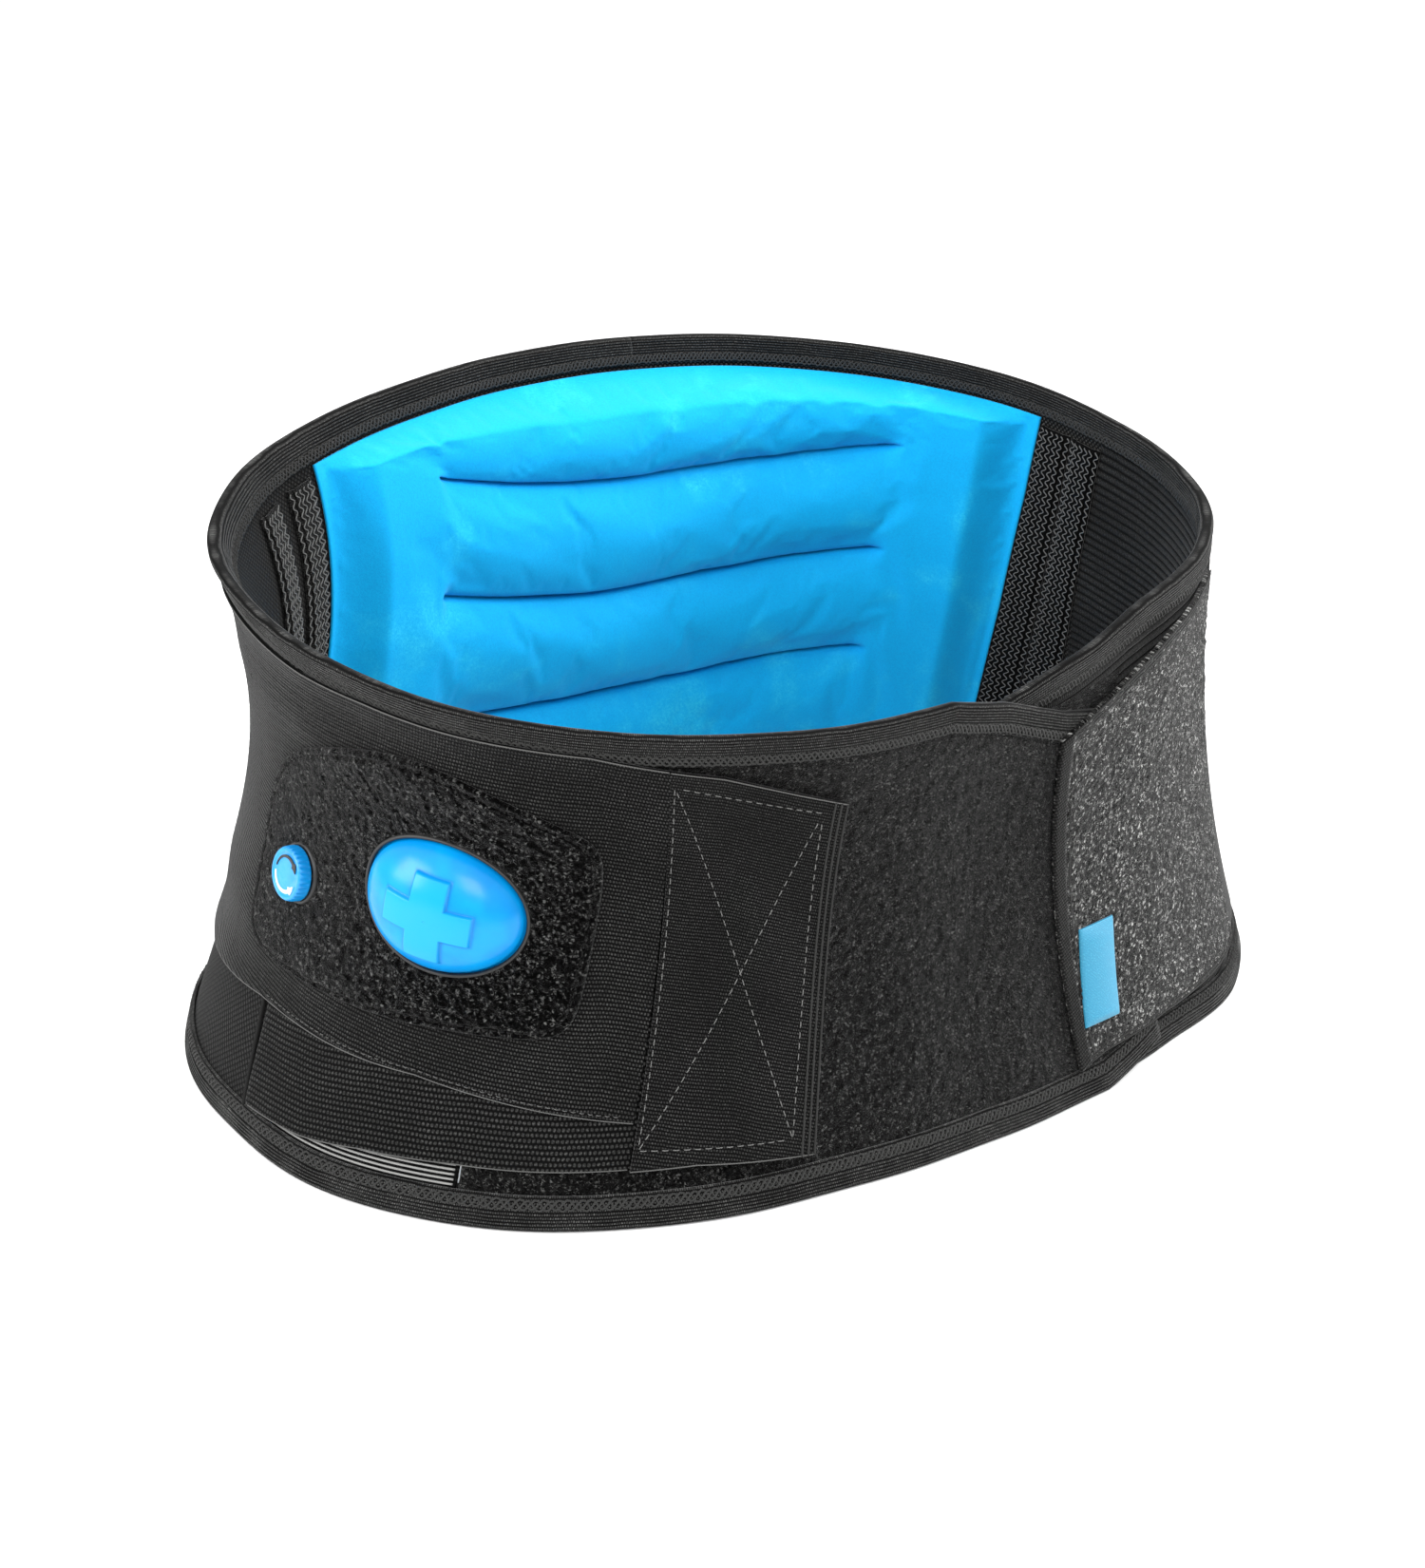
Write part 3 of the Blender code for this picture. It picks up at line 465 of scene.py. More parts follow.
class Surface:
    """A Principled material and short names for the nodes that drive it."""

    def __init__(self, name, roughness=0.9, uv=True, **constants):
        self.material = bpy.data.materials.new(name)
        self.material.use_nodes = True
        self.tree = self.material.node_tree
        self.tree.nodes.clear()
        output = self.tree.nodes.new("ShaderNodeOutputMaterial")
        self.shader = self.tree.nodes.new("ShaderNodeBsdfPrincipled")
        self.tree.links.new(self.shader.outputs[0], output.inputs["Surface"])
        self.shader.inputs["Roughness"].default_value = roughness
        for key, value in constants.items():
            self.shader.inputs[key.replace("_", " ")].default_value = value
        if uv:
            place = self.tree.nodes.new("ShaderNodeUVMap")
            place.uv_map = "cloth"
            self.place = place.outputs["UV"]
        else:
            place = self.tree.nodes.new("ShaderNodeTexCoord")
            scaled = self.tree.nodes.new("ShaderNodeVectorMath")
            scaled.operation = "SCALE"
            self.link(place.outputs["Object"], scaled.inputs[0])
            scaled.inputs["Scale"].default_value = 1000.0
            self.place = scaled.outputs[0]
        parts = self.tree.nodes.new("ShaderNodeSeparateXYZ")
        self.link(self.place, parts.inputs[0])
        self.x, self.y = parts.outputs[0], parts.outputs[1]

    def link(self, value, socket):
        if isinstance(value, (int, float)):
            socket.default_value = value
        elif isinstance(value, tuple):
            socket.default_value = value if len(value) == len(socket.default_value) else (*value, 1.0)
        else:
            self.tree.links.new(value, socket)

    def math(self, operation, a, b=0.0):
        node = self.tree.nodes.new("ShaderNodeMath")
        node.operation = operation
        for value, socket in zip((a, b), node.inputs):
            self.link(value, socket)
        return node.outputs[0]

    def times(self, a, b):
        return self.math("MULTIPLY", a, b)

    def plus(self, a, b):
        return self.math("ADD", a, b)

    def wave(self, value, pitch, sharp=1.0):
        """0 in the groove and 1 on the crest of each rib of that pitch."""
        turned = self.math("ABSOLUTE", self.math("SINE", self.times(value, math.pi / pitch)))
        return turned if sharp == 1.0 else self.math("POWER", turned, sharp)

    def noise(self, size, detail=2.0, rough=0.5, distort=0.0):
        node = self.tree.nodes.new("ShaderNodeTexNoise")
        self.link(self.place, node.inputs["Vector"])
        node.inputs["Scale"].default_value = 1.0 / size
        node.inputs["Detail"].default_value = detail
        node.inputs["Roughness"].default_value = rough
        node.inputs["Distortion"].default_value = distort
        return node.outputs["Fac"]

    def cells(self, size):
        node = self.tree.nodes.new("ShaderNodeTexVoronoi")
        node.feature = "F1"
        self.link(self.place, node.inputs["Vector"])
        node.inputs["Scale"].default_value = 1.0 / size
        return node.outputs["Distance"]

    def spread(self, value, low, high, to_low=0.0, to_high=1.0):
        node = self.tree.nodes.new("ShaderNodeMapRange")
        node.interpolation_type = "SMOOTHSTEP"
        for socket, given in zip(node.inputs, (value, low, high, to_low, to_high)):
            self.link(given, socket)
        return node.outputs[0]

    def mix(self, share, a, b):
        node = self.tree.nodes.new("ShaderNodeMix")
        node.data_type = "RGBA"
        self.link(share, node.inputs["Factor"])
        self.link(a, node.inputs[6])
        self.link(b, node.inputs[7])
        return node.outputs[2]

    def finish(self, colour, height=None, depth=0.3, strength=0.6, roughness=None):
        self.link(colour, self.shader.inputs["Base Color"])
        if roughness is not None:
            self.link(roughness, self.shader.inputs["Roughness"])
        if height is not None:
            bump = self.tree.nodes.new("ShaderNodeBump")
            bump.inputs["Strength"].default_value = strength
            bump.inputs["Distance"].default_value = depth * MM
            self.link(height, bump.inputs["Height"])
            self.tree.links.new(bump.outputs[0], self.shader.inputs["Normal"])
        return self.material


def grey(level):
    return (level, level, level * 0.97, 1.0)


def woven(name, rib, dash, dark, light, depth=0.28, sharp=0.8, across=False):
    """Narrow elastic: rows of that pitch, broken into short floats, with light fibres painted on their crests as a
    painted highlight.
    """
    s = Surface(name, roughness=0.82, Sheen_Weight=0.16, Sheen_Roughness=0.28, Specular_IOR_Level=0.06)
    x, y = (s.y, s.x) if across else (s.x, s.y)
    bend = s.times(s.plus(s.noise(14.0, 2.0), -0.5), 0.9)
    y = s.plus(y, bend)
    row = s.math("FLOOR", s.times(y, 1 / rib))
    shifted = s.plus(x, s.times(row, dash * 0.5))
    ribs = s.wave(y, rib, sharp)
    floats = s.wave(shifted, dash, 0.6)
    relief = s.plus(s.times(ribs, 0.7), s.times(s.times(floats, ribs), 0.45))
    fine = s.noise(0.55, 3.0, 0.7)
    # Painted highlight: the crests of rows and floats are mixed toward the light grey.
    shine = s.times(s.spread(s.times(ribs, floats), 0.35, 1.0), s.spread(fine, 0.42, 0.72, 0.15, 1.0))
    wide = s.spread(s.noise(28.0, 3.0, 0.55), 0.3, 0.75, 0.75, 1.2)
    colour = s.mix(s.math("MINIMUM", s.times(shine, wide), 1.0), grey(dark), grey(light))
    return s.finish(colour, s.plus(relief, s.times(fine, 0.25)), depth, 0.7, s.spread(fine, 0.3, 0.7, 0.74, 0.92))


def knit(name, dark, light):
    """Fine mesh knit: diagonal rows of small eyelets."""
    s = Surface(name, roughness=0.85, Sheen_Weight=0.03, Sheen_Roughness=0.5, Specular_IOR_Level=0.10)
    up = s.plus(s.times(s.x, 0.72), s.times(s.y, 0.70))
    down = s.plus(s.times(s.x, 0.72), s.times(s.y, -0.70))
    pitch = 1.5
    body = s.times(s.wave(up, pitch, 0.8), s.wave(down, pitch, 0.8))
    fine = s.noise(0.6, 3.0, 0.7)
    colour = s.mix(s.times(s.spread(body, 0.35, 0.95), s.spread(fine, 0.4, 0.7, 0.2, 1.0)), grey(dark), grey(light))
    return s.finish(colour, s.plus(body, s.times(fine, 0.2)), 0.35, 0.8)


def plush(name, dark, light, highlight_grey, size=1.15, sheen=0.14):
    """Brushed loop pile: dense curled loops of random dark and light tone, with painted highlights along the top of
    some loops and on fibre glints; between them it stays dark.
    """
    s = Surface(name, roughness=0.95, Sheen_Weight=sheen, Sheen_Roughness=0.28, Specular_IOR_Level=0.02)
    curl = s.noise(size, 3.0, 0.65, distort=1.6)
    loops = s.cells(size * 1.1)
    fibre = s.noise(size * 0.45, 2.0, 0.6, distort=2.2)
    # Painted highlights: the crowns of some loops and the fibre glints are mixed toward a light grey.
    painted_loop_highlight = s.times(s.spread(curl, 0.46, 0.66), s.spread(loops, 0.62, 0.15))
    glints = s.times(s.spread(fibre, 0.60, 0.74), s.spread(curl, 0.50, 0.62))
    tuft = s.spread(s.noise(9.0, 3.0, 0.6), 0.3, 0.7, 0.7, 1.2)
    colour = s.mix(s.times(s.spread(curl, 0.38, 0.62), tuft), grey(dark), grey(light))
    colour = s.mix(s.times(s.math("MINIMUM", s.plus(painted_loop_highlight, glints), 1.0), s.times(tuft, 0.62)), colour, grey(highlight_grey))
    return s.finish(colour, s.plus(s.times(curl, 0.8), s.times(fibre, 0.5)), 0.8, 0.9)


def thread(name, level):
    s = Surface(name, roughness=0.7, Sheen_Weight=0.02, Sheen_Roughness=0.4, Specular_IOR_Level=0.15)
    ply = s.wave(s.plus(s.x, s.times(s.y, 1.5)), 0.8)
    colour = s.mix(s.spread(ply, 0.2, 0.9), grey(level * 0.45), grey(level))
    return s.finish(colour, ply, 0.12, 0.8)


def velour():
    """Blue brushed velour: a fine nap, lighter where it has been stroked."""
    s = Surface("blue_velour", roughness=0.80, uv=False, Sheen_Weight=0.22, Sheen_Roughness=0.4, Specular_IOR_Level=0.2)
    s.shader.inputs["Sheen Tint"].default_value = (0.35, 0.80, 1.0, 1.0)
    nap = s.noise(0.8, 4.0, 0.75)
    stroked = s.spread(s.noise(38.0, 4.0, 0.62, distort=0.6), 0.50, 0.74)
    grain = s.spread(s.noise(1.3, 3.0, 0.8), 0.42, 0.62)
    deep = s.mix(s.spread(nap, 0.3, 0.7), (0.0, 0.330, 0.73, 1.0), (0.0, 0.405, 0.80, 1.0))
    light = s.mix(s.spread(nap, 0.35, 0.65), (0.006, 0.465, 0.80, 1.0), (0.030, 0.55, 0.83, 1.0))
    colour = s.mix(s.times(stroked, s.plus(0.35, s.times(grain, 0.65))), deep, light)
    return s.finish(colour, nap, 0.18, 0.5)


def rubber(name, low, high, roughness=0.22, coat=0.5):
    """Moulded soft plastic with a faint orange peel and cloudy colour."""
    s = Surface(name, roughness=roughness, uv=False, Coat_Weight=coat, Coat_Roughness=0.12)
    cloud = s.noise(11.0, 3.0, 0.5)
    peel = s.noise(0.9, 2.0, 0.5)
    scuff = s.noise(4.0, 4.0, 0.7, distort=1.0)
    colour = s.mix(s.spread(cloud, 0.35, 0.65), low, high)
    return s.finish(colour, peel, 0.03, 0.35, s.spread(scuff, 0.35, 0.7, roughness * 0.8, roughness * 1.5))


def bulb_rubber():
    """Soft blue rubber: the raised plus is painted a shade lighter than the dome as a painted highlight, and painted
    shade darkens the bottom of its edge.
    """
    s = Surface("bulb_rubber", roughness=0.25, Specular_IOR_Level=0.28)
    along, up = s.math("ABSOLUTE", s.x), s.math("ABSOLUTE", s.y)

    def bar(a, b, arm, half, soft):
        return s.times(s.spread(a, arm + soft, arm - soft), s.spread(b, half + soft, half - soft))

    def plus(grow, soft):
        level, upright = ((arm + grow, half + grow, soft) for arm, half in PLUS_BARS)
        return s.math("MAXIMUM", bar(along, up, *level), bar(up, along, *upright))

    cloud = s.noise(11.0, 3.0, 0.5)
    dome = s.mix(s.spread(cloud, 0.35, 0.65), (0.0, 0.225, 0.60, 1.0), (0.0, 0.275, 0.66, 1.0))
    # Painted shade: a darker band round the bottom of the plus's edge.
    painted_foot_shade = s.times(plus(0.75, 0.45), s.math("SUBTRACT", 1.0, plus(0.0, 0.25)))
    # Painted highlight: the face of the plus is a lighter blue than the dome.
    colour = s.mix(plus(0.0, 0.3), dome, (0.004, 0.300, 0.68, 1.0))
    colour = s.mix(s.times(painted_foot_shade, 0.45), colour, (0.0, 0.125, 0.42, 1.0))
    return s.finish(colour, s.noise(0.9, 2.0, 0.5), 0.03, 0.35)


def moulded(name, base, roughness=0.45, metal=0.0):
    """Spark-eroded plastic or rolled steel, by its colour and metalness."""
    s = Surface(name, roughness=roughness, uv=False, Metallic=metal)
    grain = s.noise(0.5, 3.0, 0.6)
    wear = s.noise(6.0, 4.0, 0.65)
    darker = tuple(c * 0.75 for c in base[:3]) + (1.0,)
    colour = s.mix(s.spread(wear, 0.35, 0.7), darker, base)
    return s.finish(colour, grain, 0.05, 0.5, s.spread(wear, 0.3, 0.7, roughness * 0.85, roughness * 1.25))


def label_weave():
    s = Surface("blue_label", roughness=0.5, Sheen_Weight=0.3, Sheen_Roughness=0.3)
    ribs = s.wave(s.y, 0.45)
    fine = s.noise(0.5, 2.0, 0.6)
    colour = s.mix(s.spread(ribs, 0.2, 0.9), (0.006, 0.150, 0.27, 1.0), (0.018, 0.250, 0.41, 1.0))
    colour = s.mix(s.spread(fine, 0.5, 0.8), colour, (0.06, 0.38, 0.52, 1.0))
    return s.finish(colour, s.plus(ribs, fine), 0.1, 0.6)


def hook_tape():
    s = Surface("hook_tape", roughness=0.55, Specular_IOR_Level=0.5)
    rows, posts = s.wave(s.x, 1.4, 1.6), s.wave(s.y, 1.1, 1.6)
    stub = s.times(rows, posts)
    colour = s.mix(s.spread(stub, 0.2, 0.8), grey(0.008), grey(0.045))
    return s.finish(colour, stub, 0.6, 1.0)


MATERIALS = {
    "strap": woven("strap_elastic", 1.28, 0.95, 0.0010, 0.088),
    "band": woven("band_elastic", 1.65, 1.25, 0.0010, 0.088),
    "tab": woven("tab_elastic", 1.10, 0.80, 0.0010, 0.080),
    "side_rib": woven("side_ribbed_elastic", 3.3, 0.9, 0.002, 0.066, depth=0.5, sharp=0.7),
    "tape": woven("binding_tape", 1.02, 0.62, 0.0016, 0.150, depth=0.2),
    "casing": woven("casing_tape", 1.1, 0.8, 0.001, 0.060, across=True),
    "mesh": knit("mesh_cloth", 0.0015, 0.085),
    # A darker copy of the mesh cloth, as painted shade on the left side panel.
    "dark_mesh": knit("dark_mesh_cloth", 0.0008, 0.036),
    "sheer": woven("sheer_elastic", 1.5, 0.9, 0.001, 0.018),
    "pile": plush("black_loop_pile", 0.0002, 0.0016, 0.20),
    "front_pile": plush("front_loop_pile", 0.0008, 0.0080, 0.17, 1.0),
    "grey_pile": plush("grey_loop_pile", 0.0015, 0.018, 0.85, 1.25, 0.19),
    "hem": woven("hem_tape", 1.1, 0.8, 0.004, 0.090),
    "black_thread": thread("black_thread", 0.008),
    "dark_thread": thread("dark_thread", 0.045),
    "hem_thread": thread("hem_thread", 0.030),
    "casing_thread": thread("casing_thread", 0.20),
    "selvedge_thread": thread("selvedge_thread", 0.13),
    "stitch_thread": thread("stitch_thread", 0.20),
    "sheer_thread": thread("sheer_thread", 0.34),
    "velour": velour(),
    "bulb": bulb_rubber(),
    "base": rubber("blue_rubber", (0.0, 0.230, 0.60, 1.0), (0.0, 0.290, 0.68, 1.0)),
    "knob": rubber("knob_blue", (0.0, 0.22, 0.58, 1.0), (0.0, 0.27, 0.66, 1.0), 0.36, 0.1),
    "black_plastic": moulded("black_plastic", (0.012, 0.012, 0.012, 1.0)),
    "white_ink": moulded("white_ink", (0.80, 0.84, 0.86, 1.0), 0.5),
    "vinyl": moulded("clear_vinyl", (0.55, 0.62, 0.66, 1.0), 0.25),
    "steel": moulded("spring_steel", (0.55, 0.55, 0.57, 1.0), 0.3, 1.0),
    "label": label_weave(),
    "hook": hook_tape(),
}


# --- base belt ---


def soft_bulge(x, y, degrees, height):
    return 0.25 * (noise(x, y, 18.0, 3) - 0.5)


def make_base():
    # The left mesh panel takes the darker copy of the mesh cloth: painted shade on the left inside.
    mesh = cloth(
        "mesh_cloth_left", "dark_mesh", MIDDLE, MESH_END, FULL_BOTTOM, FULL_TOP, at_level(0.0), CLOTH,
        (3.0, 3.0), soft_bulge, cut_ends=(False, False),
    )
    move_with(mesh, "left", "mesh_cloth", "left_side_panel")
    sheer = cloth(
        "sheer_elastic_panel", "sheer", MESH_END + 0.08, ELASTIC_END - 0.08, FULL_BOTTOM, FULL_TOP,
        at_level(0.0), CLOTH - 0.5, (2.5, 2.5),
    )
    move_with(sheer, "left_side", "elastic", "left_elastic_panel")
    front = cloth(
        "front_plush_panel", "front_pile", ELASTIC_END + 0.08, FRONT_END, FRONT_BOTTOM, FRONT_TOP,
        at_level(0.0), CLOTH, (1.05, 1.05), lambda x, y, d, h: 0.7 * pile(x, y),
    )
    move_with(front, "left_side", "loop_pile", "front_panel")
    right = cloth(
        "mesh_cloth_right", "mesh", RIGHT_SEAM, 360 + MIDDLE, FULL_BOTTOM, FULL_TOP, at_level(0.0), CLOTH,
        (3.0, 3.0), soft_bulge, cut_ends=(False, False),
    )
    move_with(right, "back", "mesh_cloth", "back_panel")

    def ribs(x, y, degrees, height):
        return 0.36 * np.abs(np.sin(np.pi * y / 3.3)) ** 0.8

    side = cloth(
        "ribbed_side_panel", "side_rib", FLAP_END, RIGHT_SEAM, FULL_BOTTOM, RIGHT_TOP,
        lambda d, h: side_level(d), CLOTH, (4.5, 0.475), back=ribs, cut_ends=(True, False),
    )
    move_with(side, "right", "elastic", "right_side_panel")


def binding_profile():
    """The outer and the hollow (up, out) outline of a folded tape's section, in mm: up is from the cloth's edge."""
    wall = 0.9
    ribs = np.linspace(-4.9, 0.1, 26)
    flat = np.array([-9.5, -9.3, -8.7, -7.6, -6.4, -5.4])
    up = np.concatenate([flat, ribs])
    swell = np.where(up > -5.0, 0.30 * np.abs(np.sin(np.pi * (up - 0.1) / 1.02)) ** 0.7, 0.0)
    edge = rounded(up + 9.5, 0.5, 0.3)
    outer = 2.3 + wall * edge + swell - 0.22 * smooth((up + 5.4) / 0.5) * smooth((-4.6 - up) / 0.3)
    inner = -0.5 - wall * edge - swell
    turn = np.linspace(0, np.pi, 11)[1:-1]
    cap = np.stack([0.1 + 1.25 * np.sin(turn), 0.9 - 2.35 * np.cos(turn)], -1)
    fold = np.stack([np.full(len(cap), 0.35), 0.9 - 1.35 * np.cos(turn)], -1)

    def outline(first, middle, last):
        return np.concatenate([np.stack([up, first], -1), middle, np.stack([up, last], -1)[::-1]])

    return outline(inner, cap, outer), outline(np.full_like(up, -0.5), fold, np.full_like(up, 2.3))


def make_binding(name, start, end, edge, upwards, level, where, slot, *nodes):
    """A tape folded over an edge, ribbed near its fold, with a braided zigzag row on each leg."""
    outside, hollow = binding_profile()
    length = abs(arc(end) - arc(start))
    degrees = np.linspace(start, end, max(8, round(length / 2.4)))
    grids = []
    for section in (outside, hollow):
        d, up = np.meshgrid(degrees, section[:, 0], indexing="ij")
        out = np.broadcast_to(section[:, 1], d.shape)
        height = knots(edge, d) + upwards * up / belt_height(d)
        grids.append(wrap(d, height, out + level(d)).reshape(-1, 3))
    count = len(outside)
    along = np.broadcast_to(arc(degrees)[:, None], (len(degrees), count))
    uv = np.stack([along, np.broadcast_to(outside[:, 0] - 0.1, along.shape)], -1).reshape(-1, 2)
    quads = shell_quads(len(degrees), count)
    if (upwards > 0) != (end < start):
        quads = quads[:, ::-1]
    tape = add_mesh(name, np.concatenate(grids), quads, np.concatenate([uv, uv]), "tape")
    move_with(tape, where, slot, *nodes)

    count = round(length / 5.5)
    period = length / count
    at = np.linspace(0.0, count, count * 8)
    d = np.interp(at * period, np.linspace(0, length, len(degrees)), degrees)
    paths = []
    for leg, surface in ((1, 3.2), (-1, -1.4)):
        for phase, low, high in ((0.0, -8.8, -5.7), (0.33, -8.5, -5.5), (0.64, -8.9, -5.9)):
            swing = np.abs(((at + phase) % 1.0) * 2 - 1)
            up = low + (high - low) * smooth(swing)
            cross = 0.18 * np.sin(2 * np.pi * (at + phase))
            height = knots(edge, d) + upwards * up / belt_height(d)
            paths.append(path_on(d, height, surface + leg * (0.16 + cross * 0.5) + level(d), leg < 0))
    sew(name + "_braid", "dark_thread", paths, 0.40, where, slot, flat=0.6)


def make_bindings():
    no_level = lambda d: np.zeros_like(np.asarray(d, float))
    rows = (
        ("top_binding_left", MIDDLE, FRONT_END, FRONT_TOP, 1, no_level, "left", ("top_binding_left",)),
        ("bottom_binding_left", MIDDLE, FRONT_END, FRONT_BOTTOM, -1, no_level, "left", ("bottom_binding_left",)),
        ("top_binding_right", FLAP_END, 360 + MIDDLE, RIGHT_TOP, 1, side_level, "right",
         ("top_binding_right", "top_binding_back")),
        ("bottom_binding_right", FLAP_END, 360 + MIDDLE, FULL_BOTTOM, -1, side_level, "right",
         ("bottom_binding_right", "bottom_binding_back")),
    )
    for name, start, end, edge, upwards, level, where, nodes in rows:
        make_binding(name + "_tape", start, end, edge, upwards, level, where, "binding", *nodes)


# --- strap ---


def strap_relief(x, y, degrees, height):
    return 0.15 * np.abs(np.sin(np.pi * y / 1.25))


def edge_line(points, start, end, inset, out, count=260):
    """A line beside an edge of a sheet, as (degrees, height, out): inset mm up from the edge, at that level."""
    degrees = np.linspace(start, end, count)
    height = knots(points, degrees) + inset / belt_height(degrees)
    return degrees, height, out(degrees, height)


def strap_top_face(degrees, height):
    return strap_level(degrees, height) + STRAP_THICK


def make_strap():
    rows = (
        ("strap_root_band", ANCHOR_START, STRAP_HINGE, (True, False), "left", ("strap_anchor", "strap_root")),
        ("strap_upper_band_cloth", STRAP_HINGE, TAB_START, (False, False), "strap", ("strap_upper_band",)),
    )
    for name, start, end, cut_ends, where, nodes in rows:
        band = cloth(
            name, "strap", start, end, STRAP_BOTTOM, STRAP_TOP, strap_level, STRAP_THICK, (2.5, 0.9), strap_relief,
            cut_ends=cut_ends,
        )
        move_with(band, where, "elastic", *nodes)
    lower = cloth(
        "strap_lower_band_cloth", "band", (200.0, 198.0), (TAB_START[0] - 0.2, 243.4), BAND_BOTTOM,
        ((0, 0.40), (1, 0.40)), at_level(2.2), 1.0, (2.5, 0.9), top_v=False, cut_ends=(True, False),
    )
    move_with(lower, "band", "elastic", "strap_lower_band")
    rows = (
        ("strap_root_selvedge", ANCHOR_START + 0.3, STRAP_HINGE, "left"),
        ("strap_selvedge", STRAP_HINGE, 245.9, "strap"),
    )
    for name, start, end, where in rows:
        lines = []
        for points, inset, last in ((STRAP_TOP, -0.4, end), (STRAP_BOTTOM, 0.45, min(end, 241.4))):
            d, h, o = edge_line(points, start, last, inset, strap_top_face)
            lines.append(path_on(d, h, o - 0.10))
        sew(name, "selvedge_thread", lines, 0.24, where, "elastic")
    d, h, o = edge_line(STRAP_BOTTOM, 199.0, 240.6, 2.0, strap_top_face)
    sew("band_seam_stitches", "selvedge_thread", running_stitches((d, h, o), 2.6, 0.6), 0.16, "strap", "elastic")
    d, h, o = edge_line(BAND_BOTTOM, 200.6, 241.2, 0.4, at_level(3.1))
    sew("band_selvedge", "selvedge_thread", [path_on(d, h, o)], 0.22, "band", "elastic")
    h = np.linspace(0.035, 0.25, 60)
    d = np.interp(h, (0.035, 0.25), (200.0, 197.9))
    welt = [path_on(d, h, np.full(60, 2.6))]
    sew("band_seam_welt", "black_thread", welt, 0.85, "left_side", "elastic", sides=6, flat=1.0)
    cords = []
    for k in range(8):
        d = np.linspace(204.0, ELASTIC_END - 0.4, 90)
        bottom = 8.6 + 1.42 * k
        cords.append(path_on(d, bottom / belt_height(d), np.full(90, 1.5)))
    sew("sheer_elastic_cords", "sheer_thread", cords, 0.36, "left_side", "elastic", sides=6, flat=1.0)


def make_strap_tab():
    start, end = TAB_START, TAB_END
    tab = cloth(
        "strap_tab_cloth", "tab", start, end, BAND_BOTTOM, STRAP_TOP,
        at_level(STRAP_OUT), STRAP_THICK, (2.0, 0.9),
        lambda x, y, d, h: 0.10 * np.abs(np.sin(np.pi * y / 1.15)), cut_ends=(False, True),
    )
    move_with(tab, "tab", "elastic", "strap_tab")
    level = STRAP_OUT + STRAP_THICK + 0.06

    def corner(u, v):
        low, high = start[0] + (end[0] - start[0]) * u, start[1] + (end[1] - start[1]) * u
        degrees = low + (high - low) * v
        bottom, top = knots(BAND_BOTTOM, degrees), knots(STRAP_TOP, degrees)
        return degrees, bottom + (top - bottom) * v

    a, b, c, e = corner(0.02, 0.05), corner(0.85, 0.05), corner(0.85, 0.955), corner(0.02, 0.955)
    lines = []
    for one, two in ((a, b), (b, c), (c, e), (e, a), (a, c), (b, e)):
        lines += running_stitches(straight(one, two, level - 0.05, 60), 3.4, 0.60, 0.2)
    sew("tab_box_stitches", "stitch_thread", lines, 0.17, "tab", "elastic")
    v = np.linspace(0.004, 0.996, 90)
    hem = []
    for u in (0.915, 0.955, 0.995):
        d, h = corner(u, v)
        hem.append(path_on(d, h, np.full(90, level + 0.10)))
    sew("tab_hem_ridges", "hem_thread", hem, 0.42, "tab", "elastic", flat=0.6)
    upper = edge_line(STRAP_TOP, start[1], end[1], -0.5, at_level(level))
    lower = edge_line(BAND_BOTTOM, start[0], end[0], 0.5, at_level(level))
    sew("tab_selvedge", "selvedge_thread", [path_on(*upper), path_on(*lower)], 0.22, "tab", "elastic")


# --- patch, bulb and knob ---


def soft_outline(corners, turn, power=9):
    """How far a rounded polygon reaches from its middle at each angle round it."""
    total = np.zeros_like(turn)
    for (x0, y0), (x1, y1) in zip(corners, corners[1:] + corners[:1]):
        normal = np.array([y0 - y1, x1 - x0], float)
        normal /= np.linalg.norm(normal)
        reach = normal @ np.array([x0, y0])
        if reach < 0:
            normal, reach = -normal, -reach
        total += np.maximum(0.0, (normal[0] * np.cos(turn) + normal[1] * np.sin(turn)) / reach) ** power
    return total ** (-1 / power)


def patch_level(degrees, height):
    return strap_level(degrees, height) + STRAP_THICK + 0.45


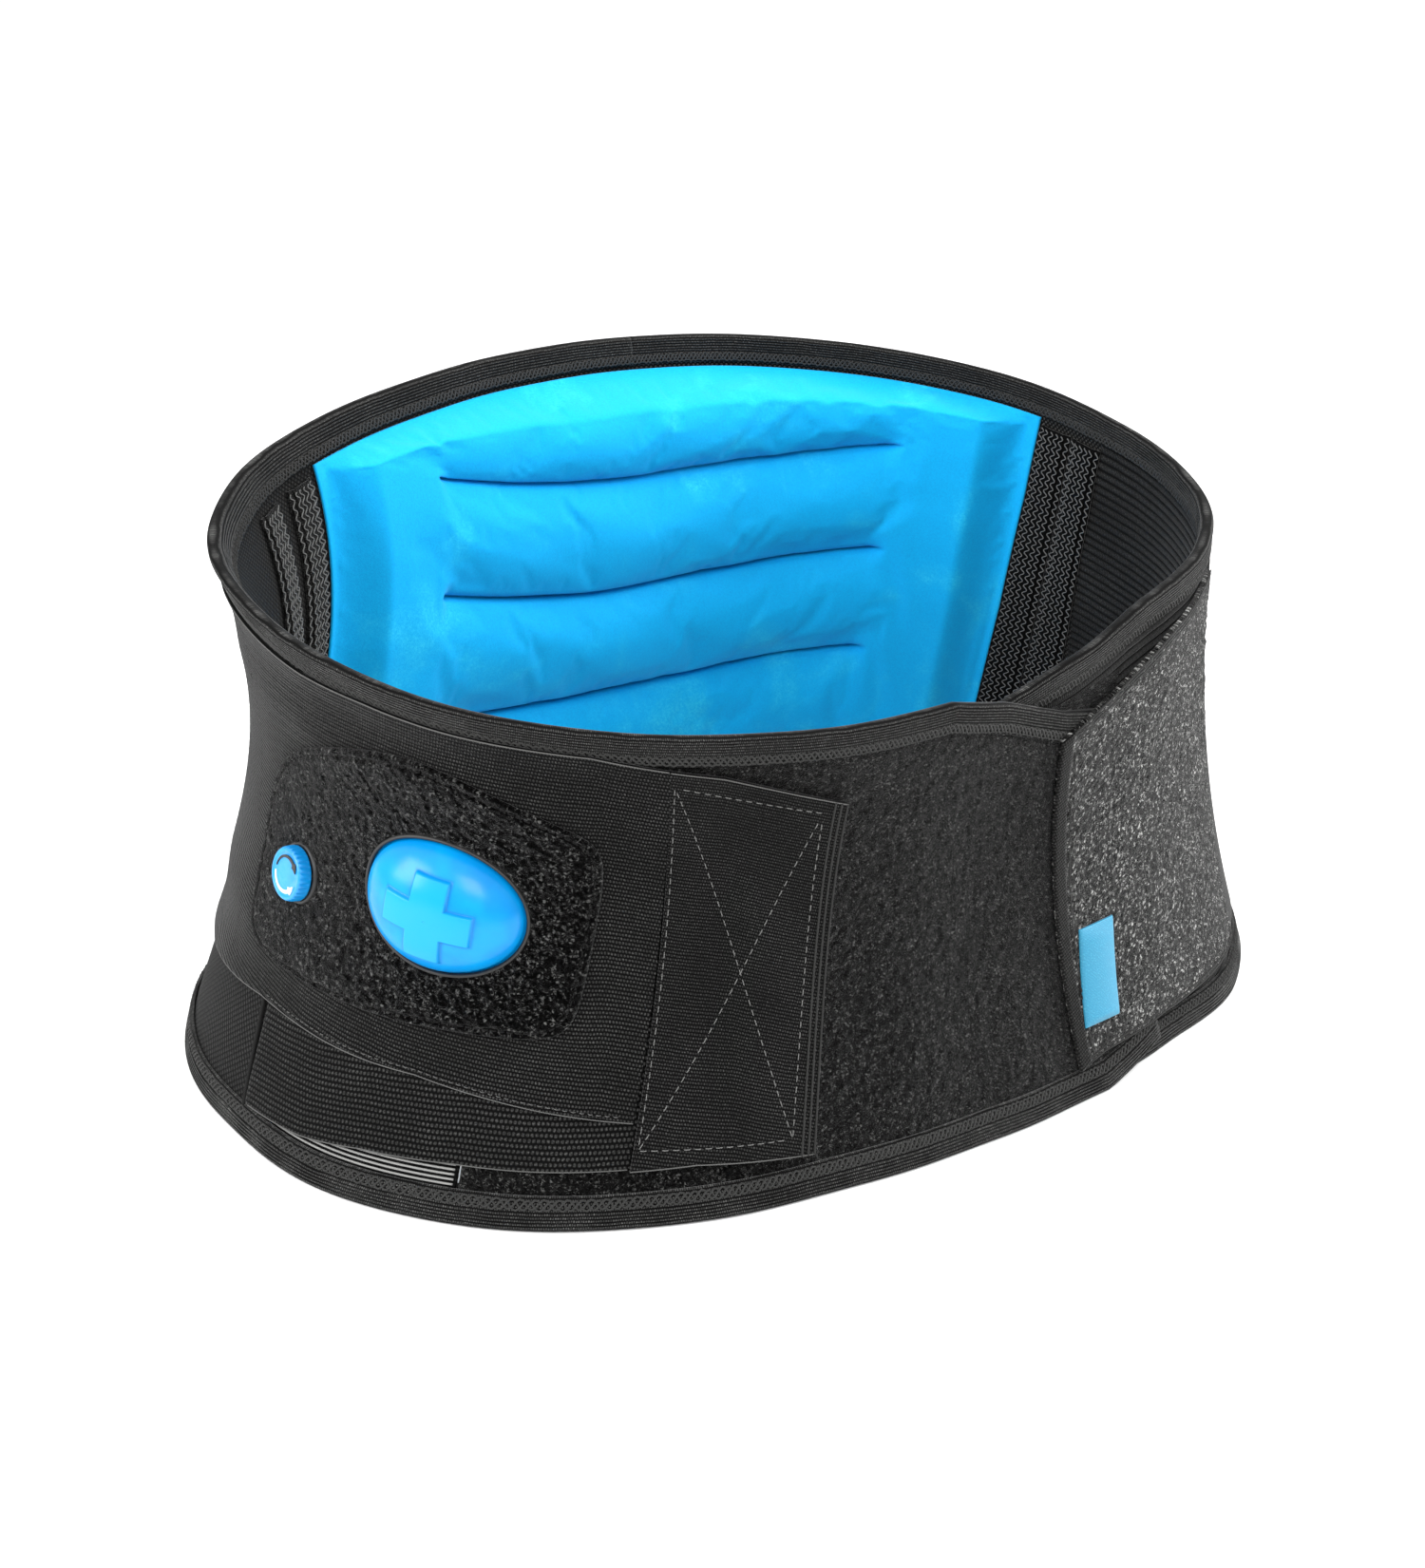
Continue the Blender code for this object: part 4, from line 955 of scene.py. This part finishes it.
def make_patch():
    turns = np.linspace(0, 2 * np.pi, 460, endpoint=False)
    hole = (25.6, 20.6)
    near = 1 / np.sqrt((np.cos(turns) / hole[0]) ** 2 + (np.sin(turns) / hole[1]) ** 2)
    far = soft_outline(PATCH_CORNERS, turns)
    vs = np.concatenate([[0.0, 0.004, 0.012], np.linspace(0.03, 0.97, 58), [0.988, 0.996, 1.0]])
    t, v = np.meshgrid(turns, vs, indexing="ij")
    reach = near[:, None] + (far - near)[:, None] * v
    x, y = reach * np.cos(t), reach * np.sin(t)
    degrees, height = beside(BULB_PLACE, x, y)
    ends = np.minimum(v, 1 - v) * (far - near)[:, None]
    full = rounded(ends, 1.3, 0.15)
    seam = 0.55 * np.exp(-(((1 - v) * (far - near)[:, None] - 2.6) / 0.5) ** 2)
    base = patch_level(degrees, height)
    outer = base + (PATCH_THICK + 0.9 * pile(x, y, 21)) * full - seam
    points = both(wrap(degrees, height, outer), wrap(degrees, height, base))
    quads = shell_quads(len(turns), len(vs), True)[:, ::-1]
    patch = add_mesh("pump_patch_plush", points, quads, both_uv(x, y), "pile")
    move_with(patch, "strap", "loop_pile", "pump_patch")
    turn = np.linspace(0, 2 * np.pi, 700)
    reach = soft_outline(PATCH_CORNERS, turn) - 2.6
    degrees, height = beside(BULB_PLACE, reach * np.cos(turn), reach * np.sin(turn))
    line = (degrees, height, patch_level(degrees, height) + PATCH_THICK - 0.35)
    sew("patch_border_stitches", "black_thread", running_stitches(line, 2.6), 0.24, "strap", "loop_pile")


def make_bulb():
    """A smooth dome with a raised plus, whose skirt runs under the patch's edge."""
    turns = np.linspace(0, 2 * np.pi, 420, endpoint=False)
    radii = np.concatenate([[0.004], np.linspace(0.02, 1.0, 150), [1.03, 1.06]])
    t, r = np.meshgrid(turns, radii, indexing="ij")
    inner = np.minimum(r, 1.0)
    x, y = inner * np.cos(t) * BULB_HALF[0], inner * np.sin(t) * BULB_HALF[1]
    rise = (1 - inner ** 2.5) ** 0.62
    tilt = math.radians(-7)
    px, py = x * math.cos(tilt) + y * math.sin(tilt), -x * math.sin(tilt) + y * math.cos(tilt)

    def bar(a, b, arm, half):
        return smooth((arm - np.abs(a)) / 0.7 + 0.5) * smooth((half - np.abs(b)) / 0.7 + 0.5)

    plus = np.maximum(bar(px, py, *PLUS_BARS[0]), bar(py, px, *PLUS_BARS[1]))
    out = BULB_REST + (BULB_HEIGHT - 0.3) * rise + 1.15 * plus
    out = np.where(r > 1.0, BULB_REST - 0.4, out)
    scale = np.where(r > 1.0, r, 1.0)
    degrees, height = beside(BULB_PLACE, x * scale, y * scale)
    under = np.minimum(out - 1.2, BULB_REST + (BULB_HEIGHT - 1.4) * rise)
    points = both(wrap(degrees, height, out), wrap(degrees, height, under))
    quads = shell_quads(len(turns), len(radii), True)[:, ::-1]
    dome = add_mesh("pump_bulb_dome", points, quads, both_uv(px, py), "bulb")
    low, high = wrap(*BULB_PLACE, BULB_REST + 0.6), wrap(*BULB_PLACE, BULB_REST + 0.8 * BULB_HEIGHT)
    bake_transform(dome)
    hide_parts("pump_bulb")
    around, across = 160, 12
    ring = np.linspace(0, 2 * np.pi, around, endpoint=False)
    section = np.linspace(0, 2 * np.pi, across, endpoint=False)
    tt, ss = np.meshgrid(ring, section, indexing="ij")
    reach_x, reach_y = 25.7 + 0.6 * np.cos(ss), 20.7 + 0.6 * np.cos(ss)
    degrees, height = beside(BULB_PLACE, reach_x * np.cos(tt), reach_y * np.sin(tt))
    points = wrap(degrees, height, PATCH_OUT + 1.2 + 0.8 * np.sin(ss))
    i, j = np.meshgrid(np.arange(around), np.arange(across), indexing="ij")
    here, ahead, up = i * across, (i + 1) % around * across, (j + 1) % across
    quads = np.stack([here + j, ahead + j, ahead + up, here + up], -1).reshape(-1, 4)
    uv = np.stack([tt * 26, ss], -1)
    lip = add_mesh("bulb_collar_lip", points, quads, uv, "black_plastic")
    move_with(lip, "strap", "blue_rubber", "bulb_collar")


def placed(frame_matrix, local):
    """Points in mm in a frame's own axes, as points in the world."""
    matrix = np.array(frame_matrix)
    return local.reshape(-1, 3) * MM @ matrix[:3, :3].T + matrix[:3, 3]


def lathe(name, profile, turns, material, frame_matrix, knurl=None):
    """Turns a closed (radius, z) profile in mm round the frame's own Z axis. knurl(turn, z) scales the radius."""
    profile = np.asarray(profile, float)
    t, k = np.meshgrid(np.linspace(0, 2 * np.pi, turns, endpoint=False), np.arange(len(profile)), indexing="ij")
    radius, z = profile[k, 0], profile[k, 1]
    if knurl is not None:
        radius = radius * knurl(t, z)
    points = placed(frame_matrix, np.stack([radius * np.cos(t), radius * np.sin(t), z], -1))
    quads = grid_quads(turns, len(profile), 0, True)
    uv = np.stack([t * 9, z], -1).reshape(-1, 2)
    return add_mesh(name, points, quads, uv, material)


def make_knob():
    frame_matrix = square_frame(KNOB_PLACE, KNOB_LEVEL)

    def knurl(turn, z):
        grip = smooth((z - 0.3) / 0.5) * smooth((4.1 - z) / 0.5)
        return 1 - 0.045 * grip * (0.5 + 0.5 * np.cos(30 * turn)) ** 1.5

    profile = (
        (0.02, 0.0), (5.5, 0.0), (8.4, 0.0), (8.9, 0.25), (9.0, 0.7), (8.95, 1.6), (8.85, 2.8), (8.7, 3.5), (8.4, 4.0),
        (7.9, 4.35), (7.5, 4.4), (7.25, 4.3), (7.05, 4.1), (6.85, 4.02), (4.0, 4.1), (1.5, 4.16), (0.02, 4.18),
    )
    knob = lathe("valve_knob_cap", profile, 360, "knob", frame_matrix, knurl)
    move_with(knob, "valve_knob", "blue_rubber", "valve_knob")

    def arrow(name, start, end, material):
        """A curved arrow on the knob's face, thin at its tail and with a broad head."""
        count = 60
        share = np.linspace(0, 1, count)
        half = np.where(share < 0.80, 0.20 + 0.50 * share, 1.5 * (1 - share) / 0.20 + 0.02)
        turn = np.radians(start + (end - start) * share)
        radius = 5.7
        rows = []
        for z in (4.42, 4.00):
            for side in (-1, 1):
                reach = radius + side * half
                rows.append(np.stack([reach * np.cos(turn), reach * np.sin(turn), np.full(count, z)], -1))
        points = placed(frame_matrix, np.stack(rows, 1))
        i = np.arange(count - 1) * 4
        order = [(0, 1, 5, 4), (1, 3, 7, 5), (3, 2, 6, 7), (2, 0, 4, 6)]
        quads = [np.stack([i + k for k in face], -1) for face in order]
        last = (count - 1) * 4
        ends = np.array([[0, 2, 3, 1], [last, last + 1, last + 3, last + 2]])
        quads = np.concatenate(quads + [ends])
        if end < start:
            quads = quads[:, ::-1]
        mark = add_mesh(name, points, quads, np.zeros((len(points), 2)), material, False)
        move_with(mark, "valve_knob", "black_plastic" if "dark" in name else "blue_label")

    arrow("knob_arrow_dark", 172, 22, "black_plastic")
    arrow("knob_arrow_white", 188, 338, "white_ink")
    seat = lathe(
        "valve_seat_ring",
        ((7.8, -2.2), (10.0, -2.2), (10.1, -1.0), (9.8, -0.35), (9.4, -0.12), (8.9, -0.3), (7.8, -0.9)),
        96, "black_plastic", frame_matrix,
    )
    move_with(seat, "strap", "black_plastic")


# --- back pad ---


def pad_place(u, e):
    """A place on the pad. e runs up it so that the welds lie at a quarter, a half and three quarters."""
    left, right = np.clip(2 * u - 1, 0, 0.72) ** 2 / 0.52, np.clip(1 - 2 * u, 0, 0.72) ** 2 / 0.52
    rise = 0.040 + left * 0.116 * smooth(e / 0.6) + right * (0.03 + 0.065 * e)
    v = e + rise * np.minimum(1, np.minimum(e, 1 - e) / 0.25)
    height = PAD_BOTTOM + (PAD_TOP - PAD_BOTTOM) * v
    right, left = knots(PAD_RIGHT, height), knots(PAD_LEFT, height)
    return right + (left - right) * u, height


def pad_swell(u, e):
    """How thick the inflated pad is, in mm. Welded lines across its middle make channels between two chambers."""
    body = 11 + 16 * np.sin(np.pi * u)
    rise = smooth((np.minimum(u, 1 - u) - 0.010) / 0.045) * smooth(np.minimum(e, 1 - e) / 0.07)
    middle = smooth((u - 0.135) / 0.03) * smooth((0.865 - u) / 0.03)
    channel = np.abs(np.sin(4 * np.pi * e)) ** 0.5
    return body * rise * (1 - 0.42 * middle * (1 - channel))


def inflate(points, quads, held, frames=18, spare=0.014, pressure=6.0):
    """Where a net of spare cloth settles when air presses on it and the held points stay."""
    sheet = add_mesh("inflating_cover", points, quads, np.zeros((len(points), 2)), "velour")
    group = sheet.vertex_groups.new(name="held")
    group.add([int(k) for k in np.flatnonzero(held)], 1.0, "REPLACE")
    settings = sheet.modifiers.new("cloth", "CLOTH").settings
    settings.quality = 5
    settings.mass = 0.12
    settings.tension_stiffness = settings.compression_stiffness = 20.0
    settings.shear_stiffness = 6.0
    settings.bending_stiffness = 1.5
    settings.shrink_min = -spare
    settings.vertex_group_mass = "held"
    settings.use_pressure = True
    settings.uniform_pressure_force = pressure
    settings.effector_weights.gravity = 0.0
    scene = bpy.context.scene
    for number in range(1, frames + 1):
        scene.frame_set(number)
    moved = sheet.evaluated_get(bpy.context.evaluated_depsgraph_get()).data
    found = np.zeros(len(points) * 3, np.float32)
    moved.vertices.foreach_get("co", found)
    scene.frame_set(1)
    bpy.data.objects.remove(sheet, do_unlink=True)
    return found.reshape(-1, 3).astype(float)


def make_pad():
    """The pad's velour cover: a net with its welds and border held is inflated, and its folds go onto a fine grid."""
    us, es = np.linspace(0, 1, 141), np.linspace(0, 1, 65)
    u, e = np.meshgrid(us, es, indexing="ij")
    degrees, height = pad_place(u, e)
    rest = wrap(degrees, height, -1.5 - pad_swell(u, e))
    welds = np.isin(np.arange(65), (16, 32, 48))[None, :] & (u > 0.148) & (u < 0.852)
    border = (np.minimum(u, 1 - u) < 0.012) | (np.minimum(e, 1 - e) < 0.02)
    shift = np.zeros_like(rest)
    quads = grid_quads(len(us), len(es))[:, ::-1]
    settled = inflate(rest.reshape(-1, 3), quads, (welds | border).ravel()).reshape(rest.shape)
    shift = settled - rest
    size = np.linalg.norm(shift, axis=-1, keepdims=True)
    shift *= 0.6 * np.minimum(1.0, 2.0 * MM / np.maximum(size, 1e-9))
    fine_u = np.unique(np.concatenate([np.linspace(0, 1, 281), np.linspace(0, 0.02, 7), np.linspace(0.98, 1, 7)]))
    fine_e = np.linspace(0, 1, 193)
    shift = spread_out(shift, us, es, fine_u, fine_e)
    u, e = np.meshgrid(fine_u, fine_e, indexing="ij")
    degrees, height = pad_place(u, e)
    x, y = arc(degrees), height * belt_height(degrees)
    depth = pad_swell(u, e)
    near = np.abs(((4 * e + 0.5) % 1.0) - 0.5) / 4
    groove = np.exp(-(near / 0.006) ** 2) * smooth((u - 0.142) / 0.012) * smooth((0.858 - u) / 0.012)
    groove = groove * (e > 0.1) * (e < 0.9)
    inside = smooth(np.minimum.reduce([u, 1 - u, e, 1 - e]) / 0.05)
    crumple = 0.5 * (noise(x, y, 15.0, 8) - 0.5) + 0.15 * (noise(x, y, 7.0, 9) - 0.5)
    face = wrap(degrees, height, -1.5 - depth + 2.2 * groove - crumple * inside) + shift
    least = wrap(degrees, height, -1.2)
    normal = outward(degrees, height)
    over = np.einsum("ijk,ijk->ij", face - least, normal)
    face -= normal * np.maximum(over, 0)[..., None]
    back = wrap(degrees, height, -0.45)
    quads = shell_quads(len(fine_u), len(fine_e))[:, ::-1]
    pad = add_mesh("air_pad_velour", both(face, back), quads, both_uv(x, y), "velour")
    move_with(pad, "back", "blue_velour", "air_pad_cover")

    inner_u, inner_e = slice(26, -26, 2), slice(20, -20, 2)
    film = face[inner_u, inner_e] + normal[inner_u, inner_e] * 1.4 * MM
    under = wrap(degrees, height, -1.0)[inner_u, inner_e]
    low = np.einsum("ijk,ijk->ij", film - under, normal[inner_u, inner_e])
    film -= normal[inner_u, inner_e] * np.maximum(low + 0.3 * MM, 0)[..., None]
    points = both(film, under)
    quads = shell_quads(*film.shape[:2])[:, ::-1]
    bladder = add_mesh("air_bladder_film", points, quads, np.zeros((len(points), 2)), "vinyl")
    move_with(bladder, "back", "clear_vinyl", "air_bladder")


def spread_out(values, us, vs, fine_u, fine_v):
    """Smoothly resamples a field from one grid onto a finer one, along one way and then the other."""

    def along(field, old, new):
        at = np.clip(np.searchsorted(old, new) - 1, 0, len(old) - 2)
        t = ((new - old[at]) / (old[at + 1] - old[at]))[:, None, None]
        p0, p1 = field[np.maximum(at - 1, 0)], field[at]
        p2, p3 = field[at + 1], field[np.minimum(at + 2, len(old) - 1)]
        return p1 + 0.5 * t * (p2 - p0 + t * (2 * p0 - 5 * p1 + 4 * p2 - p3 + t * (3 * (p1 - p2) + p3 - p0)))

    half = along(values, us, fine_u)
    return along(half.transpose(1, 0, 2), vs, fine_v).transpose(1, 0, 2)


def make_casings():
    """Woven pockets beside the pad, each with wavy zigzag threads down both sides of its stay."""
    us, vs = np.linspace(0, 1, 41), np.linspace(0, 1, 61)
    number = 0
    for side, offsets in CASINGS.items():
        edge = PAD_RIGHT if side == "right" else PAD_LEFT
        half = CASING_HALF[side]
        for offset in offsets:
            number += 1
            u, v = np.meshgrid(us, vs, indexing="ij")
            height = 0.065 + 0.868 * v
            middle = offset[0] + (offset[1] - offset[0]) * height
            degrees = knots(edge, height) + middle + (2 * u - 1) * half
            pocket = smooth((np.minimum(u, 1 - u) - 0.12) / 0.10)
            inner = -1.2 - 0.9 * pocket - 0.25 * rounded(np.minimum(u, 1 - u) * 12, 0.8)
            points = both(wrap(degrees, height, inner), wrap(degrees, height, inner + 0.6))
            uv = both_uv(arc(degrees), height * belt_height(degrees))
            quads = shell_quads(len(us), len(vs))[:, ::-1]
            tape = add_mesh(f"stay_casing_{number}_tape", points, quads, uv, "casing")
            move_with(tape, "back", "binding", f"stay_casing_{number}")
            paths = []
            height = np.linspace(0.072, 0.928, 520)
            period = 4.0 / belt_height(90)
            for column in (0.06, 0.235, 0.41, 0.59, 0.765, 0.94):
                middle = offset[0] + (offset[1] - offset[0]) * height
                place = knots(edge, height) + middle + (2 * column - 1) * half
                swing = np.sin(2 * np.pi * height / period + 1.3 * number)
                d = place + swing / per_degree(place, height)
                level = np.interp(column, us, inner[:, 30])
                paths.append(path_on(d, height, np.full(len(height), level - 0.22), True))
            sew(f"stay_casing_{number}_zigzag", "casing_thread", paths, 0.23, "back", "binding")


# --- wing ---


def wing_pile(x, y, d, h):
    """The pile's relief in mm, which lies flat along the bound top and bottom edges."""
    edge = smooth((knots(WING_TOP, d) - h) / 0.012) * smooth((h - knots(WING_BOTTOM, d)) / 0.012)
    return 0.8 * edge * pile(x, y, 31)


def make_wing():
    bands = (
        ("wing_root_band", WING_ROOT + SEAM_GAP, WING_ANCHOR_END, 3.0, "right", ("wing_anchor", "wing_root")),
        ("wing_outer_band", WING_END + SEAM_GAP, WING_ROOT, 2.0, "wing", ("wing_band",)),
    )
    for name, start, end, step, where, nodes in bands:
        band = cloth(name, "strap", start, end, WING_BOTTOM, WING_TOP, at_level(BAND_OUT), STRAP_THICK, (step, 1.2))
        move_with(band, where, "elastic", *nodes)
    panels = (
        ("wing_plush_panel", WING_HINGE, WING_END, (False, True), "wing", "wing_panel"),
        ("wing_tab_plush", WING_START + 0.35, WING_HINGE, (True, False), "wing_tab", "wing_tab"),
    )
    for name, start, end, cut_ends, where, node in panels:
        panel = cloth(
            name, "grey_pile", start, end, WING_BOTTOM, WING_TOP, lambda d, h: wing_level(d), CLOTH, (1.05, 1.05),
            wing_pile, cut_ends=cut_ends,
        )
        move_with(panel, where, "grey_loop_pile", node)
    hem = cloth(
        "wing_hem_tape", "hem", WING_START - 0.05, WING_START + 2.2, WING_BOTTOM, WING_TOP,
        at_level(WING_OUT + CLOTH - 0.3), 0.9, (0.8, 2.0),
    )
    move_with(hem, "wing_tab", "binding", "wing_hem")
    rims = ((WING_TOP, -0.6), (WING_TOP, -2.0), (WING_TOP, -3.4), (WING_BOTTOM, 0.6), (WING_BOTTOM, 2.0))
    edges = (
        ("wing_tab_edge", WING_START + 0.3, WING_HINGE, "wing_tab"),
        ("wing_edge", WING_HINGE, WING_END, "wing"),
    )
    for name, start, end, where in edges:
        lines = []
        for points, inset in rims:
            line = edge_line(points, start, end, inset, lambda d, h: wing_level(d) + CLOTH + 0.1, 120)
            lines.append(path_on(*line))
        sew(name, "hem_thread", lines, 0.42, where, "grey_loop_pile", flat=0.6)
    level = WING_OUT + CLOTH
    h = np.linspace(0.095, 0.80, 200)
    lines = running_stitches((np.full(200, WING_START + 2.75), h, np.full(200, level + 0.30)), 2.8)
    sew("wing_hem_stitches", "dark_thread", lines, 0.28, "wing_tab", "binding")
    low, high = 0.158, 0.375
    label = cloth(
        "side_label_tag", "label", (307.0, 308.6), (313.4, 315.0), ((0, low), (1, low)),
        ((0, high), (1, high)),
        at_level(level + 0.35), 0.9, (0.6, 0.8),
        lambda x, y, d, h: 1.3 * np.sin(np.pi * np.clip((d - 307.0 - 7.37 * (h - low)) / 6.4, 0, 1)) ** 0.7
        * smooth((high - h) / 0.03) * smooth((h - low) / 0.02),
    )
    move_with(label, "wing_tab", "blue_label", "side_label")


# --- hidden pieces ---


def dress_nodes():
    """Gives each CAD node that stays its own procedural material."""
    kinds = {
        "hook": ("front_end_hook", "strap_tab_hook", "wing_tab_hook"),
        "front_pile": ("flap_loop",),
        "vinyl": ("bladder_port", "back_hose", "side_hose", "strap_hose", "link_tube"),
        "black_plastic": ("hose_grommet", "inlet_valve", "outlet_valve", "valve_body", "valve_spindle"),
        "steel": ("stay_1", "stay_2", "stay_3", "stay_4"),
        "base": ("pump_base",),
    }
    for kind, names in kinds.items():
        for name in names:
            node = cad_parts[name]
            node.data.materials.clear()
            node.data.materials.append(MATERIALS[kind])
            if "cloth" not in node.data.uv_layers:
                co = np.zeros(len(node.data.vertices) * 3, np.float32)
                node.data.vertices.foreach_get("co", co)
                co = co.reshape(-1, 3) * 1000
                index = np.zeros(len(node.data.loops), np.int32)
                node.data.loops.foreach_get("vertex_index", index)
                layer = node.data.uv_layers.new(name="cloth")
                layer.data.foreach_set("uv", np.stack([co[index, 0] - co[index, 1], co[index, 2]], -1).ravel())


# --- stage ---


def make_stage():
    floor_mesh = bpy.data.meshes.new("floor")
    size = 60.0
    floor_mesh.from_pydata([(-size, -size, 0), (size, -size, 0), (size, size, 0), (-size, size, 0)], [], [(0, 1, 2, 3)])
    floor = bpy.data.objects.new("floor", floor_mesh)
    bpy.context.scene.collection.objects.link(floor)
    s = Surface("floor_paper", roughness=0.9, uv=False)
    floor_mesh.materials.append(s.finish(s.mix(s.noise(40.0, 2.0), (0.90, 0.90, 0.90, 1.0), (0.93, 0.93, 0.93, 1.0))))
    world = bpy.data.worlds.new("studio")
    bpy.context.scene.world = world
    world.use_nodes = True
    background = world.node_tree.nodes["Background"]
    nodes, links = world.node_tree.nodes, world.node_tree.links
    sky, parts, level = (nodes.new(f"ShaderNode{kind}") for kind in ("TexCoord", "SeparateXYZ", "MapRange"))
    links.new(sky.outputs["Generated"], parts.inputs[0])
    links.new(parts.outputs[2], level.inputs["Value"])
    for socket, value in zip(("From Min", "From Max", "To Min", "To Max"), (0.0, 0.9, 0.42, 1.50)):
        level.inputs[socket].default_value = value
    ray, seen = nodes.new("ShaderNodeLightPath"), nodes.new("ShaderNodeMix")
    links.new(ray.outputs["Is Camera Ray"], seen.inputs[0])
    links.new(level.outputs[0], seen.inputs[2])
    seen.inputs[3].default_value = 1.0
    links.new(seen.outputs[0], background.inputs["Strength"])
    background.inputs["Color"].default_value = (1.0, 1.0, 1.0, 1.0)
    lights = (
        ("left", (-1.30, -0.20, 0.75), 0.8, 17.0),
        ("right", (1.30, -0.10, 0.80), 0.8, 24.0),
        ("front", (-0.25, -1.20, 1.10), 0.6, 9.0),
        ("top_back", (0.1, 0.5, 1.4), 0.8, 5.0),
    )
    for name, place, size, power in lights:
        light = bpy.data.lights.new(name, "AREA")
        light.size = size
        light.energy = power
        obj = bpy.data.objects.new(name, light)
        obj.location = place
        obj.rotation_mode = "QUATERNION"
        obj.rotation_quaternion = (Vector((0, 0, 0.09)) - Vector(place)).to_track_quat("-Z", "Y")
        bpy.context.scene.collection.objects.link(obj)


def make_camera():
    azimuth, elevation, distance, roll = -0.2956, 0.3831, 0.7802, 0.0199
    back = Vector(
        (math.sin(azimuth) * math.cos(elevation), -math.cos(azimuth) * math.cos(elevation), math.sin(elevation))
    )
    right = (-back).cross(Vector((0, 0, 1))).normalized()
    up = right.cross(-back)
    turned_right = right * math.cos(roll) + up * math.sin(roll)
    turned_up = up * math.cos(roll) - right * math.sin(roll)
    place = Vector((-0.0075, -0.0054, 0.0836)) + back * distance
    data = bpy.data.cameras.new("camera")
    data.lens = 48.95
    data.sensor_width = 36.0
    data.shift_x, data.shift_y = -0.00916, -0.01059
    data.clip_start, data.clip_end = 0.01, 500
    camera = bpy.data.objects.new("camera", data)
    camera.matrix_world = Matrix.Translation(place) @ Matrix((turned_right, turned_up, back)).transposed().to_4x4()
    bpy.context.scene.collection.objects.link(camera)
    bpy.context.scene.camera = camera
    bpy.context.scene.view_settings.view_transform = "Standard"


make_camera()
make_stage()
make_base()
make_bindings()
make_strap()
make_strap_tab()
make_patch()
make_bulb()
make_knob()
make_pad()
make_casings()
make_wing()
dress_nodes()
